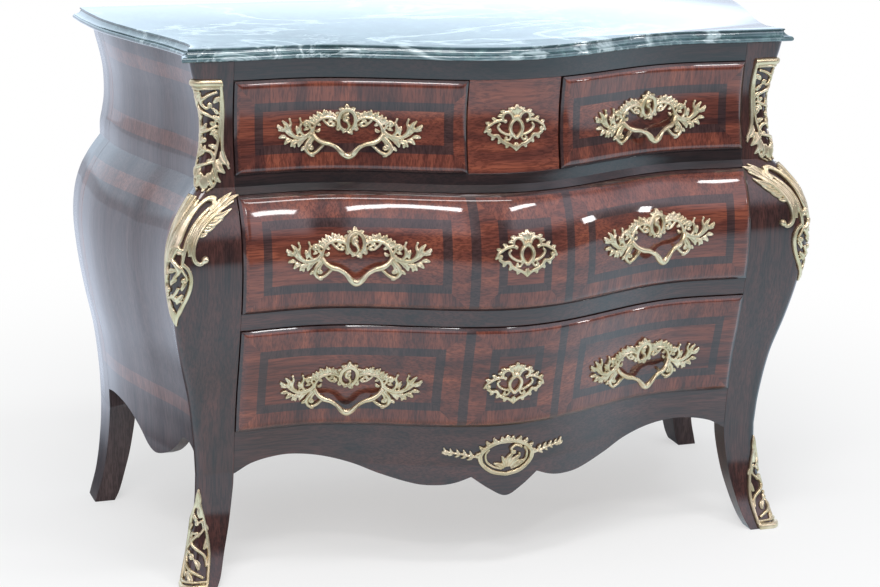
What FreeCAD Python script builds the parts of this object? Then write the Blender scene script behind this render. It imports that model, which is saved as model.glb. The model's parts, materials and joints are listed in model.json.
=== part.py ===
"""Bombe chest of drawers with a serpentine front, a marble top and cast brass mounts.

Millimetres, +Z up, +X to the right seen from the front, the front faces -Y.
The origin is on the floor, under the middle of the chest's box.
Two short drawers stand over two long ones.  The case is veneered wood in two storeys:
a hollow cove under the marble and, below a crease, a swell that falls to curved legs.
"""
import FreeCAD, Part

import math
import os

V = FreeCAD.Vector

# ---------------------------------------------------------------- driving dimensions
# heights, from the floor up
leg_height = 180.0
apron_height = 71.0
bottom_opening = 179.0
lower_rail_height = 29.0
middle_opening = 185.0
upper_rail_height = 29.0
top_opening = 149.0
frieze_height = 31.0
slab_thick = 20.0
crease_rise = 11.0            # the crease lies this far above the underside of the upper rail

# plan
front_line = -170.0           # y of the marble's front corners
front_overhang = 12.0         # marble past the case's sides at its front corners
rear_overhang = 30.0          # and at its back corners
back_overhang = 12.0          # marble past the back of the case
centre_bulge = 90.0           # how far the middle of the front comes forward of its hollows
bulge_half = 340.0            # half width of that bulge
hollow_depth = 6.0            # how far the hollows lie behind the front line of the stiles
stile_set = 1.0               # how far the stiles lie behind the case's front line

# half widths of the case at its back, and set-backs of its front at the stiles
half_foot_kick = 24.0         # how far the feet spread sideways past the knee
half_knee = 563.0
half_crease = 557.0
half_top = 568.0
side_swell = 47.5
side_cove = 13.0
set_knee = 12.0
set_crease = 2.0
set_top = 4.0
front_kick = 46.0             # how far the front feet reach forward of the knee
front_swell = 49.5
front_cove = 10.0

# the sides' plan: how much narrower the case is, by distance behind the front line
side_scoop = 73.0             # at the hollow just behind the front corner
corner_narrow = 60.0          # at the front corner itself
corner_turn = 6.0             # how much wider the side's line runs on ahead of the corner
corner_at = 15.0              # where the corner and the hollow lie, behind the front line
scoop_at = 50.0
flank_end = 430.0             # where the side has come out to its full width

# carcass stock
opening_half = 438.5          # half width of the long drawer openings
partition_half = 79.0         # outer faces of the partitions beside the centre panel
partition_thick = 12.0
front_stock = 22.0            # rails, apron and centre panel, front to back
side_stock = 18.0
post_depth = 62.0             # front post, behind the front line
corner_cant = 11.0            # setback of the canted corner along each face
knee_slope = 0.16             # mean run of the post's back rearward above the knee, by its rise
leg_depth_knee = 40.0
leg_depth_foot = 32.0
inner_kick = 40.0             # how far the inner edge of a front leg runs outward to the foot
rear_inner = 515.0            # inner face of the rear posts
rear_post_depth = 70.0
rear_foot_depth = 50.0
rear_foot_width = 36.0
back_stock = 8.0
back_inset = 7.0              # the back panel lies this far inside the posts' back faces
back_lift = 20.0              # lower edge of the back panel above the knee
fit_gap = 0.3                 # between boards that are let in beside each other
board_stock = 12.0            # dust panels and bottom board
sub_top_stock = 12.0

# drawers
drawer_gap = 1.0              # round a drawer front, in its opening
drawer_proud = 9.0            # the field of a drawer front stands this far off the case
edge_proud = 3.0              # and its outer edge this far
bevel = 9.0
front_board = 20.0            # drawer front behind its outer edge
run_gap = 0.3                 # under the drawer sides
guide_gap = 0.5               # beside the drawer sides
joint_gap = 0.1               # between a drawer's front and its sides and bottom
drawer_side = 12.0
drawer_back = 10.0
drawer_bottom = 6.0
bottom_rise = 8.0             # drawer bottom above the lower edge of the sides
side_drop = 16.0              # top of the drawer sides below the top of the opening
drawer_reach = 430.0          # back face of a drawer, behind the front line
stop_gap = 0.4
stop_depth = 24.3             # stop blocks, front to back
stop_width = 40.0
stop_inset = 100.0            # long drawers' stops inside the ends of their openings
stop_height = 20.0
guide_width = 18.0
guide_height = 22.0

# locks of the long drawers
lock_width = 60.0
lock_height = 46.0
lock_thick = 12.0
lock_wall = 2.5
lock_let_in = 6.0             # depth of the lock's seat in the back of the front
bolt_width = 20.0
bolt_thick = 5.0
bolt_tail = 12.0              # bolt below the key
bolt_shy = 1.5                # bolt's end below the front's top edge when drawn back
bolt_throw = 8.0
bolt_gap = 0.4
strike_gap = 1.0              # round the bolt in its mortise
strike_spare = 2.0            # mortise past the thrown bolt
keyhole_radius = 2.6
key_notch = 5.0               # half height of the bolt's notch for the key

# handles and their bolts
handle_at = 258.0             # handle centres each side of the middle
handle_half = 112.0
handle_rise = 43.0            # top of a handle above its centre
handle_fall = 37.0            # underside of its leaves below the centre
top_handle_drop = 10.5        # handle centres below the middle of their openings
middle_handle_drop = 1.5
bottom_handle_drop = 16.5
cast_thick = 4.0
seat_gap = 0.2                # castings lie this close to the wood
grip_radius = 4.0
grip_stand = 20.0             # middle of the grip in front of the drawer
grip_foot = 5.8               # and its ends
grip_half = 54.0              # grip's bosses each side of the centre
grip_drop = 40.0
boss_radius = 8.0
boss_proud = 4.0              # boss in front of the plate
screw_radius = 2.0
screw_clear = 0.3
screw_head_radius = 4.5
screw_head = 3.0
screw_bite = 3.5              # bolt's reach into the boss

# escutcheons, apron mount and corner mounts
escutcheon_half = 50.0
escutcheon_half_height = 36.0
top_plate_drop = 2.5          # escutcheon centres below the middle of their openings
middle_plate_drop = -3.5
bottom_plate_drop = 9.5
apron_mount_half = 103.0
apron_mount_half_height = 35.0
apron_mount_rise = 17.0       # its centre above the knee
mount_clear = 2.0             # corner mounts keep this far from the openings
mount_gap = 0.6               # and this far off the wood
upper_mount_height = 167.0
upper_mount_drop = 30.0       # its top below the top of the case
upper_mount_side = 24.0       # how far it reaches round the corner
lower_mount_height = 196.0
lower_mount_drop = 10.0       # its top below the crease
lower_mount_side = 36.0
sabot_height = 156.0
sabot_side = 24.0

# marble edge: a rounded lip under a cove, and a fillet on top
lip_height = 8.0
cove_in = 13.0
fillet_height = 3.0
fillet_in = 1.5               # fillet in front of the cove's top
arris_in = 1.0                # its softened top arris

# working values that leave the finished sizes as they are
cut_reach = 240.0             # how far a cutting prism runs past what it cuts
grid_step = 28.0              # spacing of the points that a drawer's surfaces pass through
cast_step = 14.0              # and of those of a casting's surfaces
sheet_margin = 6.0            # how far a casting's surface runs past its outline
wrap_step = 5.0               # spacing of the sections of a corner mount
wrap_via = 0.9                # share of its side at which a mount bends, where the post hasn't yet

# ---------------------------------------------------------------- levels and planes
z_knee = leg_height
z_apron = z_knee + apron_height
z_lower_rail = z_apron + bottom_opening
z_middle = z_lower_rail + lower_rail_height
z_upper_rail = z_middle + middle_opening
z_upper = z_upper_rail + upper_rail_height
z_frieze = z_upper + top_opening
z_case = z_frieze + frieze_height
z_crease = z_upper_rail + crease_rise
drawer_end = front_line + drawer_reach
stop_front = drawer_end + stop_gap
stop_back = stop_front + stop_depth
panel_front = stop_back + fit_gap
panel_back = panel_front + back_stock
case_back = panel_back + back_inset
slab_back = case_back + back_overhang
slab_depth = slab_back - front_line
post_back = front_line + post_depth
rear_post_front = case_back - rear_post_depth
knee_back = front_line + set_knee + stile_set + leg_depth_knee


# ---------------------------------------------------------------- curves and formulas
def smooth(points):
    """Return a function through (place, value) pairs, smooth between them and flat outside."""
    places = [p[0] for p in points]
    values = [p[1] for p in points]
    last = len(points) - 1
    slopes = []
    for i in range(last + 1):
        a = max(i - 1, 0)
        b = min(i + 1, last)
        slopes.append((values[b] - values[a]) / (places[b] - places[a]))

    def value(s):
        if s <= places[0]:
            return values[0]
        if s >= places[-1]:
            return values[-1]
        i = 0
        while s > places[i + 1]:
            i += 1
        h = places[i + 1] - places[i]
        t = (s - places[i]) / h
        low = values[i] * (1 + 2 * t) * (1 - t) ** 2 + slopes[i] * h * t * (1 - t) ** 2
        high = values[i + 1] * t * t * (3 - 2 * t) + slopes[i + 1] * h * t * t * (t - 1)
        return low + high

    return value


# shares of each bulge by the share of its storey's height
swell_shape = smooth([(0, 0), (.12, .07), (.28, .27), (.42, .58), (.54, .81), (.66, .97), (.74, 1),
                      (.82, .92), (.885, .73), (.93, .5), (.965, .27), (1, 0)])
cove_shape = smooth([(0, 0), (.12, .12), (.22, .5), (.33, .85), (.45, 1), (.6, .98), (.75, .65),
                     (.88, .25), (1, 0)])
kick_shape = smooth([(0, 1), (.1, .80), (.24, .52), (.4, .31), (.56, .17), (.78, .04), (1, 0)])
inner_shape = smooth([(0, 1), (.1, .78), (.32, .5), (.54, .26), (.86, .04), (1, 0)])
flank_shape = [(.13, .92), (.27, .74), (.39, .54), (.53, .345), (.66, .18), (.79, .07), (1, 0)]


def profile(z, knee, crease, top, kick, swell, cove):
    """Blend one face's profile from its knee, crease and top values and its three bulges."""
    if z >= z_crease:
        t = (z - z_crease) / (z_case - z_crease)
        return crease + (top - crease) * t - cove * cove_shape(t)
    if z >= z_knee:
        t = (z - z_knee) / (z_crease - z_knee)
        return knee + (crease - knee) * t + swell * swell_shape(t)
    return knee + kick * kick_shape(z / z_knee)


def half_width(z):
    """Half width of the case at its back."""
    return profile(z, half_knee, half_crease, half_top, half_foot_kick, side_swell, side_cove)


def front_reach(z):
    """How far the stiles' front lies in front of the front line."""
    return profile(z, -set_knee, -set_crease, -set_top, front_kick, front_swell, front_cove)


def bell(t):
    """A round hump, one at the middle and zero past one either side."""
    return 0.5 + 0.5 * math.cos(math.pi * min(abs(t), 1.0))


def serpentine(x):
    """Set-back of the front's plan: a central bulge between two hollows and flat stiles."""
    if abs(x) <= bulge_half:
        return hollow_depth - centre_bulge * bell(x / bulge_half)
    t = min((abs(x) - bulge_half) / (opening_half - bulge_half), 1.0)
    return hollow_depth + (stile_set - hollow_depth) * t * t * (3 - 2 * t)


flank = flank_end - scoop_at
side_narrow = smooth([(-scoop_at, corner_narrow - corner_turn), (corner_at, corner_narrow),
                      (scoop_at, side_scoop)]
                     + [(scoop_at + flank * t, side_scoop * share) for t, share in flank_shape])


def front_y(x, z):
    """The case's front face."""
    return front_line - front_reach(z) + serpentine(x)


def side_x(y, z):
    """The case's right side face."""
    return half_width(z) - side_narrow(y - front_line)


def leg_inner(z):
    """Inner edge of the right front leg, or of the stile above it."""
    return opening_half + inner_kick * inner_shape(min(z / z_knee, 1.0))


def corner(z):
    """Where the front and the right side would meet at height z."""
    x = opening_half
    y = front_line
    for _ in range(12):
        y = front_y(x, z)
        x = side_x(y, z)
    return x, y


# ---------------------------------------------------------------- shape helpers
def spread(low, high, count):
    """Return count values from low to high, evenly spaced."""
    return [low + (high - low) * i / (count - 1) for i in range(count)]


def path(points):
    """A straight edge through two points, or a smooth one through more."""
    if len(points) == 2:
        return Part.LineSegment(points[0], points[1]).toShape()
    curve = Part.BSplineCurve()
    curve.interpolate(points)
    return curve.toShape()


def wire(*paths):
    """Close a wire from point lists, each starting where the one before it ends."""
    return Part.Wire([path(points) for points in paths])


def box(x0, x1, y0, y1, z0, z1):
    """A box between two corners."""
    return Part.makeBox(x1 - x0, y1 - y0, z1 - z0, V(x0, y0, z0))


def mirrored(shape):
    """The shape's twin on the other side of the middle plane."""
    return shape.mirror(V(0, 0, 0), V(1, 0, 0))


def sheet(point, u_values, v_values):
    """A smooth face through a grid of points."""
    surface = Part.BSplineSurface()
    surface.interpolate([[point(u, v) for v in v_values] for u in u_values])
    return surface


def skin(surface):
    """The face of a whole surface."""
    return surface.toShape()


def bridges(outer, inner):
    """Four ruled faces between the borders of two surfaces with the same directions."""
    faces = []
    for pick in ("u0", "u1", "v0", "v1"):
        borders = []
        for surface in (outer, inner):
            u0, u1, v0, v1 = surface.bounds()
            if pick[0] == "u":
                borders.append(surface.uIso(u0 if pick == "u0" else u1))
            else:
                borders.append(surface.vIso(v0 if pick == "v0" else v1))
        faces.append(Part.makeRuledSurface(borders[0].toShape(), borders[1].toShape()))
    return faces


def sewn(faces):
    """A solid from faces that close round it."""
    shell = Part.makeShell(faces)
    shell.sewShape()
    solid = Part.makeSolid(shell)
    if solid.Volume < 0:
        solid.reverse()
    return solid


def lofted(wires, ruled=False):
    """A solid through closed flat wires."""
    return Part.makeLoft(wires, True, ruled)


def plank(x_values, z_parts, stock):
    """A board whose front is the case's front, between x and z limits, lofted along x.

    z_parts lists heights in runs, and each run of heights is one smooth band of the front.
    """
    wires = []
    for x in x_values:
        runs = [[V(x, front_y(x, z), z) for z in run] for run in z_parts]
        top = runs[-1][-1]
        foot = runs[0][0]
        back = [V(x, p.y + stock, p.z) for run in reversed(runs) for p in reversed(run)]
        back = [p for i, p in enumerate(back) if i == 0 or abs(p.z - back[i - 1].z) > 1e-6]
        wires.append(wire(*runs, [top, back[0]], back, [back[-1], foot]))
    return lofted(wires)


def prism_y(outline, y0, y1):
    """A prism along Y from a closed list of smooth or straight runs of (x, z) points."""
    edges = [[V(x, y0, z) for x, z in run] for run in outline]
    return Part.Face(wire(*edges)).extrude(V(0, y1 - y0, 0))


def prism_x(outline, x0, x1):
    """A prism along X from a closed list of runs of (y, z) points."""
    edges = [[V(x0, y, z) for y, z in run] for run in outline]
    return Part.Face(wire(*edges)).extrude(V(x1 - x0, 0, 0))


def prism_z(outline, z0, z1):
    """A prism along Z from a closed list of runs of (x, y) points."""
    edges = [[V(x, y, z0) for x, y in run] for run in outline]
    return Part.Face(wire(*edges)).extrude(V(0, 0, z1 - z0))


def circle(cx, cz, rx, rz=None):
    """A closed run of (x, z) points round a circle, or round an ellipse of two radii."""
    angles = [2 * math.pi * i / 16 for i in range(17)]
    return [(cx + rx * math.cos(a), cz + (rz or rx) * math.sin(a)) for a in angles]


def save(node, *solids):
    """Write a node's solids to its STEP file."""
    shape = solids[0] if len(solids) == 1 else Part.makeCompound(list(solids))
    shape.exportStep("parts/" + node + ".step")
    print(node, len(shape.Solids), round(shape.Volume / 1000.0, 2), "cm3", shape.isValid())


# ---------------------------------------------------------------- marble top
def slab_front(x, inset):
    """The marble's front edge, with its lip inset by a given amount."""
    return front_line + serpentine(x) - stile_set + inset


def slab_side(depth):
    """Half width of the marble at a distance behind its front corners."""
    overhang = front_overhang + (rear_overhang - front_overhang) * depth / slab_depth
    return side_x(front_line + depth, z_case) + overhang


def slab_outline(inset, z):
    """The marble's plan at one height as a wire."""
    front_corner = slab_side(0) - inset
    front = [V(x, slab_front(x, inset), z) for x in spread(-front_corner, front_corner, 45)]
    right = [V(slab_side(d) - inset, front_line + d, z) for d in spread(inset, slab_depth, 19)]
    right[0] = front[-1]
    right[-1].y = slab_back - inset / 2
    left = [V(-p.x, p.y, z) for p in reversed(right)]
    return wire(front, right, [right[-1], left[0]], left)


def marble_top():
    """Slab with a rounded lower lip, a cove above it and a small top fillet."""
    top = z_case + slab_thick
    cove_low = z_case + lip_height
    cove_high = top - fillet_height
    steps = []
    for angle in spread(-90, 90, 7):
        reach = math.cos(math.radians(angle))
        rise = math.sin(math.radians(angle))
        radius = lip_height / 2
        steps.append((radius * (1 - reach), z_case + radius * (1 + rise)))
    for t in spread(0.15, 1, 5):
        angle = math.radians(90 * t)
        steps.append((cove_in * math.sin(angle), cove_low + (cove_high - cove_low) * (1 - math.cos(angle))))
    steps.append((cove_in - fillet_in, cove_high + arris_in))
    steps.append((cove_in - fillet_in, top - arris_in))
    steps.append((cove_in - fillet_in + arris_in, top))
    return lofted([slab_outline(inset, z) for inset, z in steps], ruled=True)


# ---------------------------------------------------------------- posts and legs
def post_rear(z):
    """The back face of a front post."""
    if z < z_knee:
        depth = leg_depth_foot + (leg_depth_knee - leg_depth_foot) * z / z_knee
        return front_line - front_reach(z) + stile_set + depth
    t = min((z - z_knee) * knee_slope / (post_back - knee_back), 1.0)
    return knee_back + (post_back - knee_back) * t * t * (3 - 2 * t)


def post_turns(z):
    """Where the side face of a front post turns: at its cant, at its middle and at its back."""
    turn = corner(z)[1] + corner_cant
    rear = post_rear(z)
    return turn, (turn + rear) / 2, rear


def post_side(y, z):
    """The side face of a front post: two flats that follow the scoop."""
    turn, middle, rear = post_turns(z)
    if y <= middle:
        t = (y - turn) / (middle - turn)
        return side_x(turn, z) * (1 - t) + side_x(middle, z) * t
    t = (y - middle) / (rear - middle)
    return side_x(middle, z) * (1 - t) + side_x(rear, z) * t


def post_section(z, inner):
    """Front post section: front face, canted corner, side face with its scoop, and inner faces."""
    arris = corner(z)[0] - corner_cant
    turn, middle, back = post_turns(z)
    points = [V(inner, front_y(inner, z), z), V(arris, front_y(arris, z), z), V(side_x(turn, z), turn, z),
              V(side_x(middle, z), middle, z), V(side_x(back, z), back, z), V(inner, back, z)]
    return Part.makePolygon(points + points[:1])


def front_post():
    """Right front post: one stile from the marble to a curved leg."""
    leg = [post_section(z, leg_inner(z)) for z in spread(0, z_knee, 21)]
    body = [post_section(z, opening_half) for z in spread(z_knee, z_crease, 37)]
    head = [post_section(z, opening_half) for z in spread(z_crease, z_case, 17)]
    return lofted(leg).fuse([lofted(body), lofted(head)]).removeSplitter()


def rear_section(z, inner, front):
    """Rear post section at one height."""
    middle = (front + case_back) / 2
    points = [V(inner, front, z), V(side_x(front, z), front, z), V(side_x(middle, z), middle, z),
              V(side_x(case_back, z), case_back, z), V(inner, case_back, z)]
    return Part.makePolygon(points + points[:1])


def rear_post():
    """Right rear post with its splayed leg."""
    leg = []
    for t in [0, .05, .12, .2, .3, .42, .55, .7, .85, 1]:
        z = z_knee * t
        foot_inner = half_knee + half_foot_kick - rear_foot_width
        inner = rear_inner + (foot_inner - rear_inner) * inner_shape(t)
        front = rear_post_front + (rear_post_depth - rear_foot_depth) * (1 - t)
        leg.append(rear_section(z, inner, front))
    body = []
    for t in [0, .06, .14, .24, .34, .44, .54, .64, .74, .82, .885, .93, .965, 1]:
        body.append(rear_section(z_knee + (z_crease - z_knee) * t, rear_inner, rear_post_front))
    head = []
    for t in spread(0, 1, 9):
        head.append(rear_section(z_crease + (z_case - z_crease) * t, rear_inner, rear_post_front))
    return lofted(leg).fuse([lofted(body), lofted(head)]).removeSplitter()


# ---------------------------------------------------------------- sides, rails, apron
# lower edges of the side panel and of the apron's right half, as shares of their length and of the
# knee's height
panel_low = .86
side_lobes = [[(0, 1.09), (.04, 1.15), (.09, 1.19), (.15, 1.18)],
              [(.15, 1.18), (.22, 1.06), (.3, .96), (.41, .89), (.49, .93), (.585, 1.06), (.69, 1.17),
               (.79, 1.215), (.9, 1.22), (1, 1.19)]]
apron_lobe = [(0, .711), (.064, .783), (.132, .9)]
apron_arch = [(.132, .9), (.192, .845), (.25, .822), (.33, .83), (.456, .917), (.547, 1.006), (.639, 1.072),
              (.73, 1.111), (.82, 1.122), (.93, 1.078), (1, .989)]


def lobed(run, x0, x1, z_scale):
    """Scale a run of (share of length, share of height) points."""
    return [(x0 + (x1 - x0) * t, z_scale * z) for t, z in run]


def below(outline, margin):
    """Close a lower edge into the outline of the waste under it."""
    start = outline[0][0]
    end = outline[-1][-1]
    low = min(z for run in outline for _, z in run) - margin
    return outline + [[end, (end[0], low)], [(end[0], low), (start[0], low)], [(start[0], low), start]]


def side_panel():
    """Right side panel between the posts, with a crease and a lobed lower edge."""
    z_low = z_knee * panel_low
    low = spread(z_low, z_crease, 17)
    high = spread(z_crease, z_case, 9)
    wires = []
    for y in spread(post_back + joint_gap, rear_post_front - joint_gap, 17):
        outer_low = [V(side_x(y, z), y, z) for z in low]
        outer_high = [V(side_x(y, z), y, z) for z in high]
        inner_high = [V(p.x - side_stock, y, p.z) for p in reversed(outer_high)]
        inner_low = [V(p.x - side_stock, y, p.z) for p in reversed(outer_low)]
        wires.append(wire(outer_low, outer_high, [outer_high[-1], inner_high[0]], inner_high, inner_low,
                          [inner_low[-1], outer_low[0]]))
    panel = lofted(wires)
    edge = [lobed(run, post_back, rear_post_front, z_knee) for run in side_lobes]
    return panel.cut(prism_x(below(edge, z_knee), half_knee - cut_reach, half_knee + cut_reach))


front_places = spread(-opening_half, opening_half, 31)


def frieze_rail():
    """Rail over the top drawers."""
    return plank(front_places, [spread(z_frieze, z_case, 4)], front_stock)


def upper_rail():
    """Rail between the short and the middle drawers, with the crease and the bolt's mortise."""
    heights = [spread(z_upper_rail, z_crease, 4), spread(z_crease, z_upper, 5)]
    return plank(front_places, heights, front_stock).cut(middle_lock.mortise())


def lower_rail():
    """Rail between the middle and the bottom drawers, with the bolt's mortise."""
    return plank(front_places, [spread(z_lower_rail, z_middle, 5)], front_stock).cut(bottom_lock.mortise())


def front_apron():
    """Apron with a lobed lower edge between the front legs."""
    z_low = z_knee * apron_lobe[0][1] - sheet_margin
    board = plank(front_places, [spread(z_low, z_apron, 9)], front_stock)
    arch = lobed(apron_arch, 0, opening_half, z_knee)
    lobe = lobed(apron_lobe, 0, opening_half, z_knee)
    middle = [(-x, z) for x, z in reversed(lobe[1:])] + lobe
    edge = [[(-x, z) for x, z in reversed(arch)], middle, arch]
    return board.cut(prism_y(below(edge, z_knee), front_line - cut_reach, front_line + cut_reach))


def centre_panel():
    """Fixed panel between the two short drawers, flush with the rails."""
    half = partition_half - drawer_gap * 1.5
    return plank(spread(-half, half, 9), [spread(z_upper, z_frieze, 9)], front_stock)


# ---------------------------------------------------------------- inside the carcass
def rail_back(x, z0, z1):
    """The rearmost reach of the front rails' back faces over a band of heights."""
    return max(front_y(x, z) + front_stock for z in spread(z0, z1, 5))


def inner_side(y, z0, z1):
    """The innermost reach of the right side panel over a band of heights."""
    return min(side_x(y, z) - side_stock for z in spread(z0, z1, 5))


def floor_board(z0, z1, margin=fit_gap):
    """A board that fills the case's plan behind the rails, between the posts and sides."""
    reach = opening_half - margin
    front = [(x, rail_back(x, z0, z1) + margin) for x in spread(-reach, reach, 31)]
    side_start = post_back + margin
    side_end = rear_post_front - margin
    right = [(inner_side(y, z0, z1) - margin, y) for y in spread(side_start, side_end, 9)]
    rear = rear_inner - margin
    back = panel_front - margin
    half = [[front[-1], (front[-1][0], side_start)], [(front[-1][0], side_start), right[0]], right,
            [right[-1], (rear, side_end)], [(rear, side_end), (rear, back)]]
    left = [[(-x, y) for x, y in reversed(run)] for run in reversed(half)]
    return prism_z([front] + half + [[(rear, back), (-rear, back)]] + left, z0, z1)


def partitions():
    """Two upright boards behind the centre panel."""
    solids = []
    x1 = partition_half
    x0 = partition_half - partition_thick
    front = max(rail_back(x, z_upper, z_case) for x in (x0, x1)) + fit_gap
    board = box(x0, x1, front, panel_front - fit_gap, z_upper, z_case - sub_top_stock - fit_gap)
    solids.append(board)
    solids.append(mirrored(board))
    return solids


def back_panel():
    """Flat back between the rear posts."""
    half = rear_inner - fit_gap
    return box(-half, half, panel_front, panel_back, z_knee + back_lift, z_case)


def drawer_guides():
    """Strips that keep the drawers straight, one at each end of each board."""
    solids = []
    for z in (z_apron, z_middle, z_upper):
        strip = box(opening_half, opening_half + guide_width, post_back + fit_gap, panel_front - fit_gap, z,
                    z + guide_height)
        solids.append(strip)
        solids.append(mirrored(strip))
    return solids


def drawer_stops():
    """Blocks behind the drawers, on the boards."""
    solids = []
    places = ((z_apron, opening_half - stop_inset), (z_middle, opening_half - stop_inset),
              (z_upper, (partition_half + opening_half) / 2))
    for z, x in places:
        block = box(x - stop_width / 2, x + stop_width / 2, stop_front, stop_back, z, z + stop_height)
        solids.append(block)
        solids.append(mirrored(block))
    return solids


# ---------------------------------------------------------------- drawers
def field_y(x, z):
    """The face of a drawer front's field."""
    return front_y(x, z) - drawer_proud


def back_of_front(x, z):
    """The back face of a drawer front."""
    return front_y(x, z) - edge_proud + front_board


def drawer_front(x0, x1, z0, z1):
    """A drawer front: a proud field, bevelled edges and a back that follows the front."""
    columns = max(9, int((x1 - x0) / grid_step) + 1)
    rows = 13
    field = sheet(lambda x, z: V(x, field_y(x, z), z), spread(x0 + bevel, x1 - bevel, columns),
                  spread(z0 + bevel, z1 - bevel, rows))
    edge = sheet(lambda x, z: V(x, front_y(x, z) - edge_proud, z), spread(x0, x1, columns),
                 spread(z0, z1, rows))
    back = sheet(lambda x, z: V(x, back_of_front(x, z), z), spread(x0, x1, columns), spread(z0, z1, rows))
    return sewn([skin(field), skin(back)] + bridges(field, edge) + bridges(edge, back))


class Drawer:
    """One drawer's limits and the places of its fittings."""

    def __init__(self, name, x0, x1, z0, z1, handles, handle_drop, lock=None):
        self.name = name
        self.x0 = x0
        self.x1 = x1
        self.z0 = z0
        self.z1 = z1
        self.handles = handles
        self.handle_z = (z0 + z1) / 2 - handle_drop
        self.lock = lock
        self.front = (x0 + drawer_gap, x1 - drawer_gap, z0 + drawer_gap, z1 - drawer_gap)
        self.side_top = z1 - side_drop
        self.side_foot = z0 + run_gap
        self.floor = self.side_foot + bottom_rise

    def side(self, x_low, x_high):
        """One side board, fitted to the back of the front."""
        heights = spread(self.side_foot, self.side_top, 9)
        front = [(max(back_of_front(x, z) for x in (x_low, x_high)) + joint_gap, z) for z in heights]
        outline = [front, [front[-1], (drawer_end, self.side_top)],
                   [(drawer_end, self.side_top), (drawer_end, self.side_foot)],
                   [(drawer_end, self.side_foot), front[0]]]
        return prism_x(outline, x_low, x_high)

    def sides(self):
        """Both side boards."""
        left = self.side(self.x0 + guide_gap, self.x0 + guide_gap + drawer_side)
        right = self.side(self.x1 - guide_gap - drawer_side, self.x1 - guide_gap)
        return [left, right]

    def inner(self):
        """The x limits between the side boards."""
        return self.x0 + guide_gap + drawer_side, self.x1 - guide_gap - drawer_side

    def back(self):
        """The back board between the sides."""
        x0, x1 = self.inner()
        return box(x0, x1, drawer_end - drawer_back, drawer_end, self.floor + drawer_bottom, self.side_top)

    def bottom(self):
        """The bottom board, its front edge following the drawer front."""
        x0, x1 = self.inner()
        z0 = self.floor
        z1 = self.floor + drawer_bottom
        places = spread(x0, x1, max(9, int((x1 - x0) / grid_step) + 1))
        front = [(x, max(back_of_front(x, z) for z in (z0, z1)) + joint_gap) for x in places]
        outline = [front, [front[-1], (x1, drawer_end)], [(x1, drawer_end), (x0, drawer_end)],
                   [(x0, drawer_end), front[0]]]
        return prism_z(outline, z0, z1)



class Lock:
    """A lock let into the back of a long drawer's front, its bolt leaning with the front's curve."""

    def __init__(self, key_z, rail_foot):
        self.key_z = key_z
        strike = spread(rail_foot, rail_foot + bolt_throw + strike_spare, 4)
        rail_front = max(front_y(0, z) for z in strike)
        rail_rear = min(front_y(0, z) for z in strike) + front_stock
        self.key_y = back_of_front(0, key_z) - lock_let_in + lock_thick / 2
        rise = rail_foot - key_z
        run = (rail_front + rail_rear) / 2 - self.key_y
        self.lean = math.degrees(math.atan2(-run, rise))
        self.reach = math.hypot(run, rise)
        self.end = self.reach * (rise - drawer_gap) / rise - bolt_shy

    def placed(self, shape):
        """Turn a shape from the lock's own axes, with +Z along the bolt, to its place."""
        shape.rotate(V(0, 0, 0), V(1, 0, 0), self.lean)
        shape.translate(V(0, self.key_y, self.key_z))
        return shape

    def bar(self, gap, z0, z1):
        """A bar along the bolt's way, larger than the bolt by a gap all round."""
        half = bolt_width / 2 + gap
        deep = bolt_thick / 2 + gap
        return box(-half, half, -deep, deep, z0, z1)

    def mortise(self):
        """The pocket in the rail above that takes the thrown bolt."""
        return self.placed(self.bar(strike_gap, self.reach - strike_gap * 3,
                                    self.reach + bolt_throw + strike_spare))

    def front_cuts(self):
        """The seat of the case, the bolt's groove and the keyhole in the drawer front."""
        half = lock_width / 2 + fit_gap
        tall = lock_height / 2 + fit_gap
        seat = box(-half, half, -lock_thick / 2 - fit_gap, front_board * 3, -tall, tall)
        groove = box(-bolt_width / 2 - bolt_gap, bolt_width / 2 + bolt_gap, -bolt_thick / 2 - bolt_gap,
                     front_board * 3, 0, self.reach + bolt_throw)
        return [self.placed(seat), self.placed(groove), self.keyhole()]

    def keyhole(self):
        """A bore along Y from in front of the drawer to the case."""
        start = front_y(0, self.key_z) - 2 * front_board
        return Part.makeCylinder(keyhole_radius, self.key_y - start, V(0, start, self.key_z), V(0, 1, 0))

    def case(self):
        """The lock's box, open at the top for the bolt, with a keyhole in its front wall."""
        tall = lock_height / 2
        body = box(-lock_width / 2, lock_width / 2, -lock_thick / 2, lock_thick / 2, -tall, tall)
        way = self.bar(bolt_gap, lock_wall - tall, lock_height)
        key = Part.makeCylinder(keyhole_radius + 1, lock_thick, V(0, -lock_thick, 0), V(0, 1, 0))
        return self.placed(body.cut(way).cut(key))

    def bolt(self):
        """The bolt, drawn back."""
        bar = self.bar(0, -bolt_tail, self.end)
        notch = box(-bolt_width / 4, bolt_width / 4, -bolt_thick, bolt_thick, -key_notch, key_notch)
        return self.placed(bar.cut(notch))


# ---------------------------------------------------------------- castings
def draped(outline, offset, thick, x0, x1, z0, z1):
    """A plate of an outline in the XZ plane, bent to lie on the case's front.

    offset is how far its back stands off the case.
    """
    columns = max(7, int((x1 - x0) / cast_step) + 1)
    rows = max(7, int((z1 - z0) / cast_step) + 1)
    edge = sheet_margin
    surface = sheet(lambda x, z: V(x, front_y(x, z) - offset, z), spread(x0 - edge, x1 + edge, columns),
                    spread(z0 - edge, z1 + edge, rows))
    body = skin(surface).extrude(V(0, -thick, 0))
    return body.common(prism_y(outline, front_line - cut_reach, front_line + cut_reach))


grip_shape = smooth([(0, 1), (.2, .9), (.4, .67), (.7, .46), (1, .05)])


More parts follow.
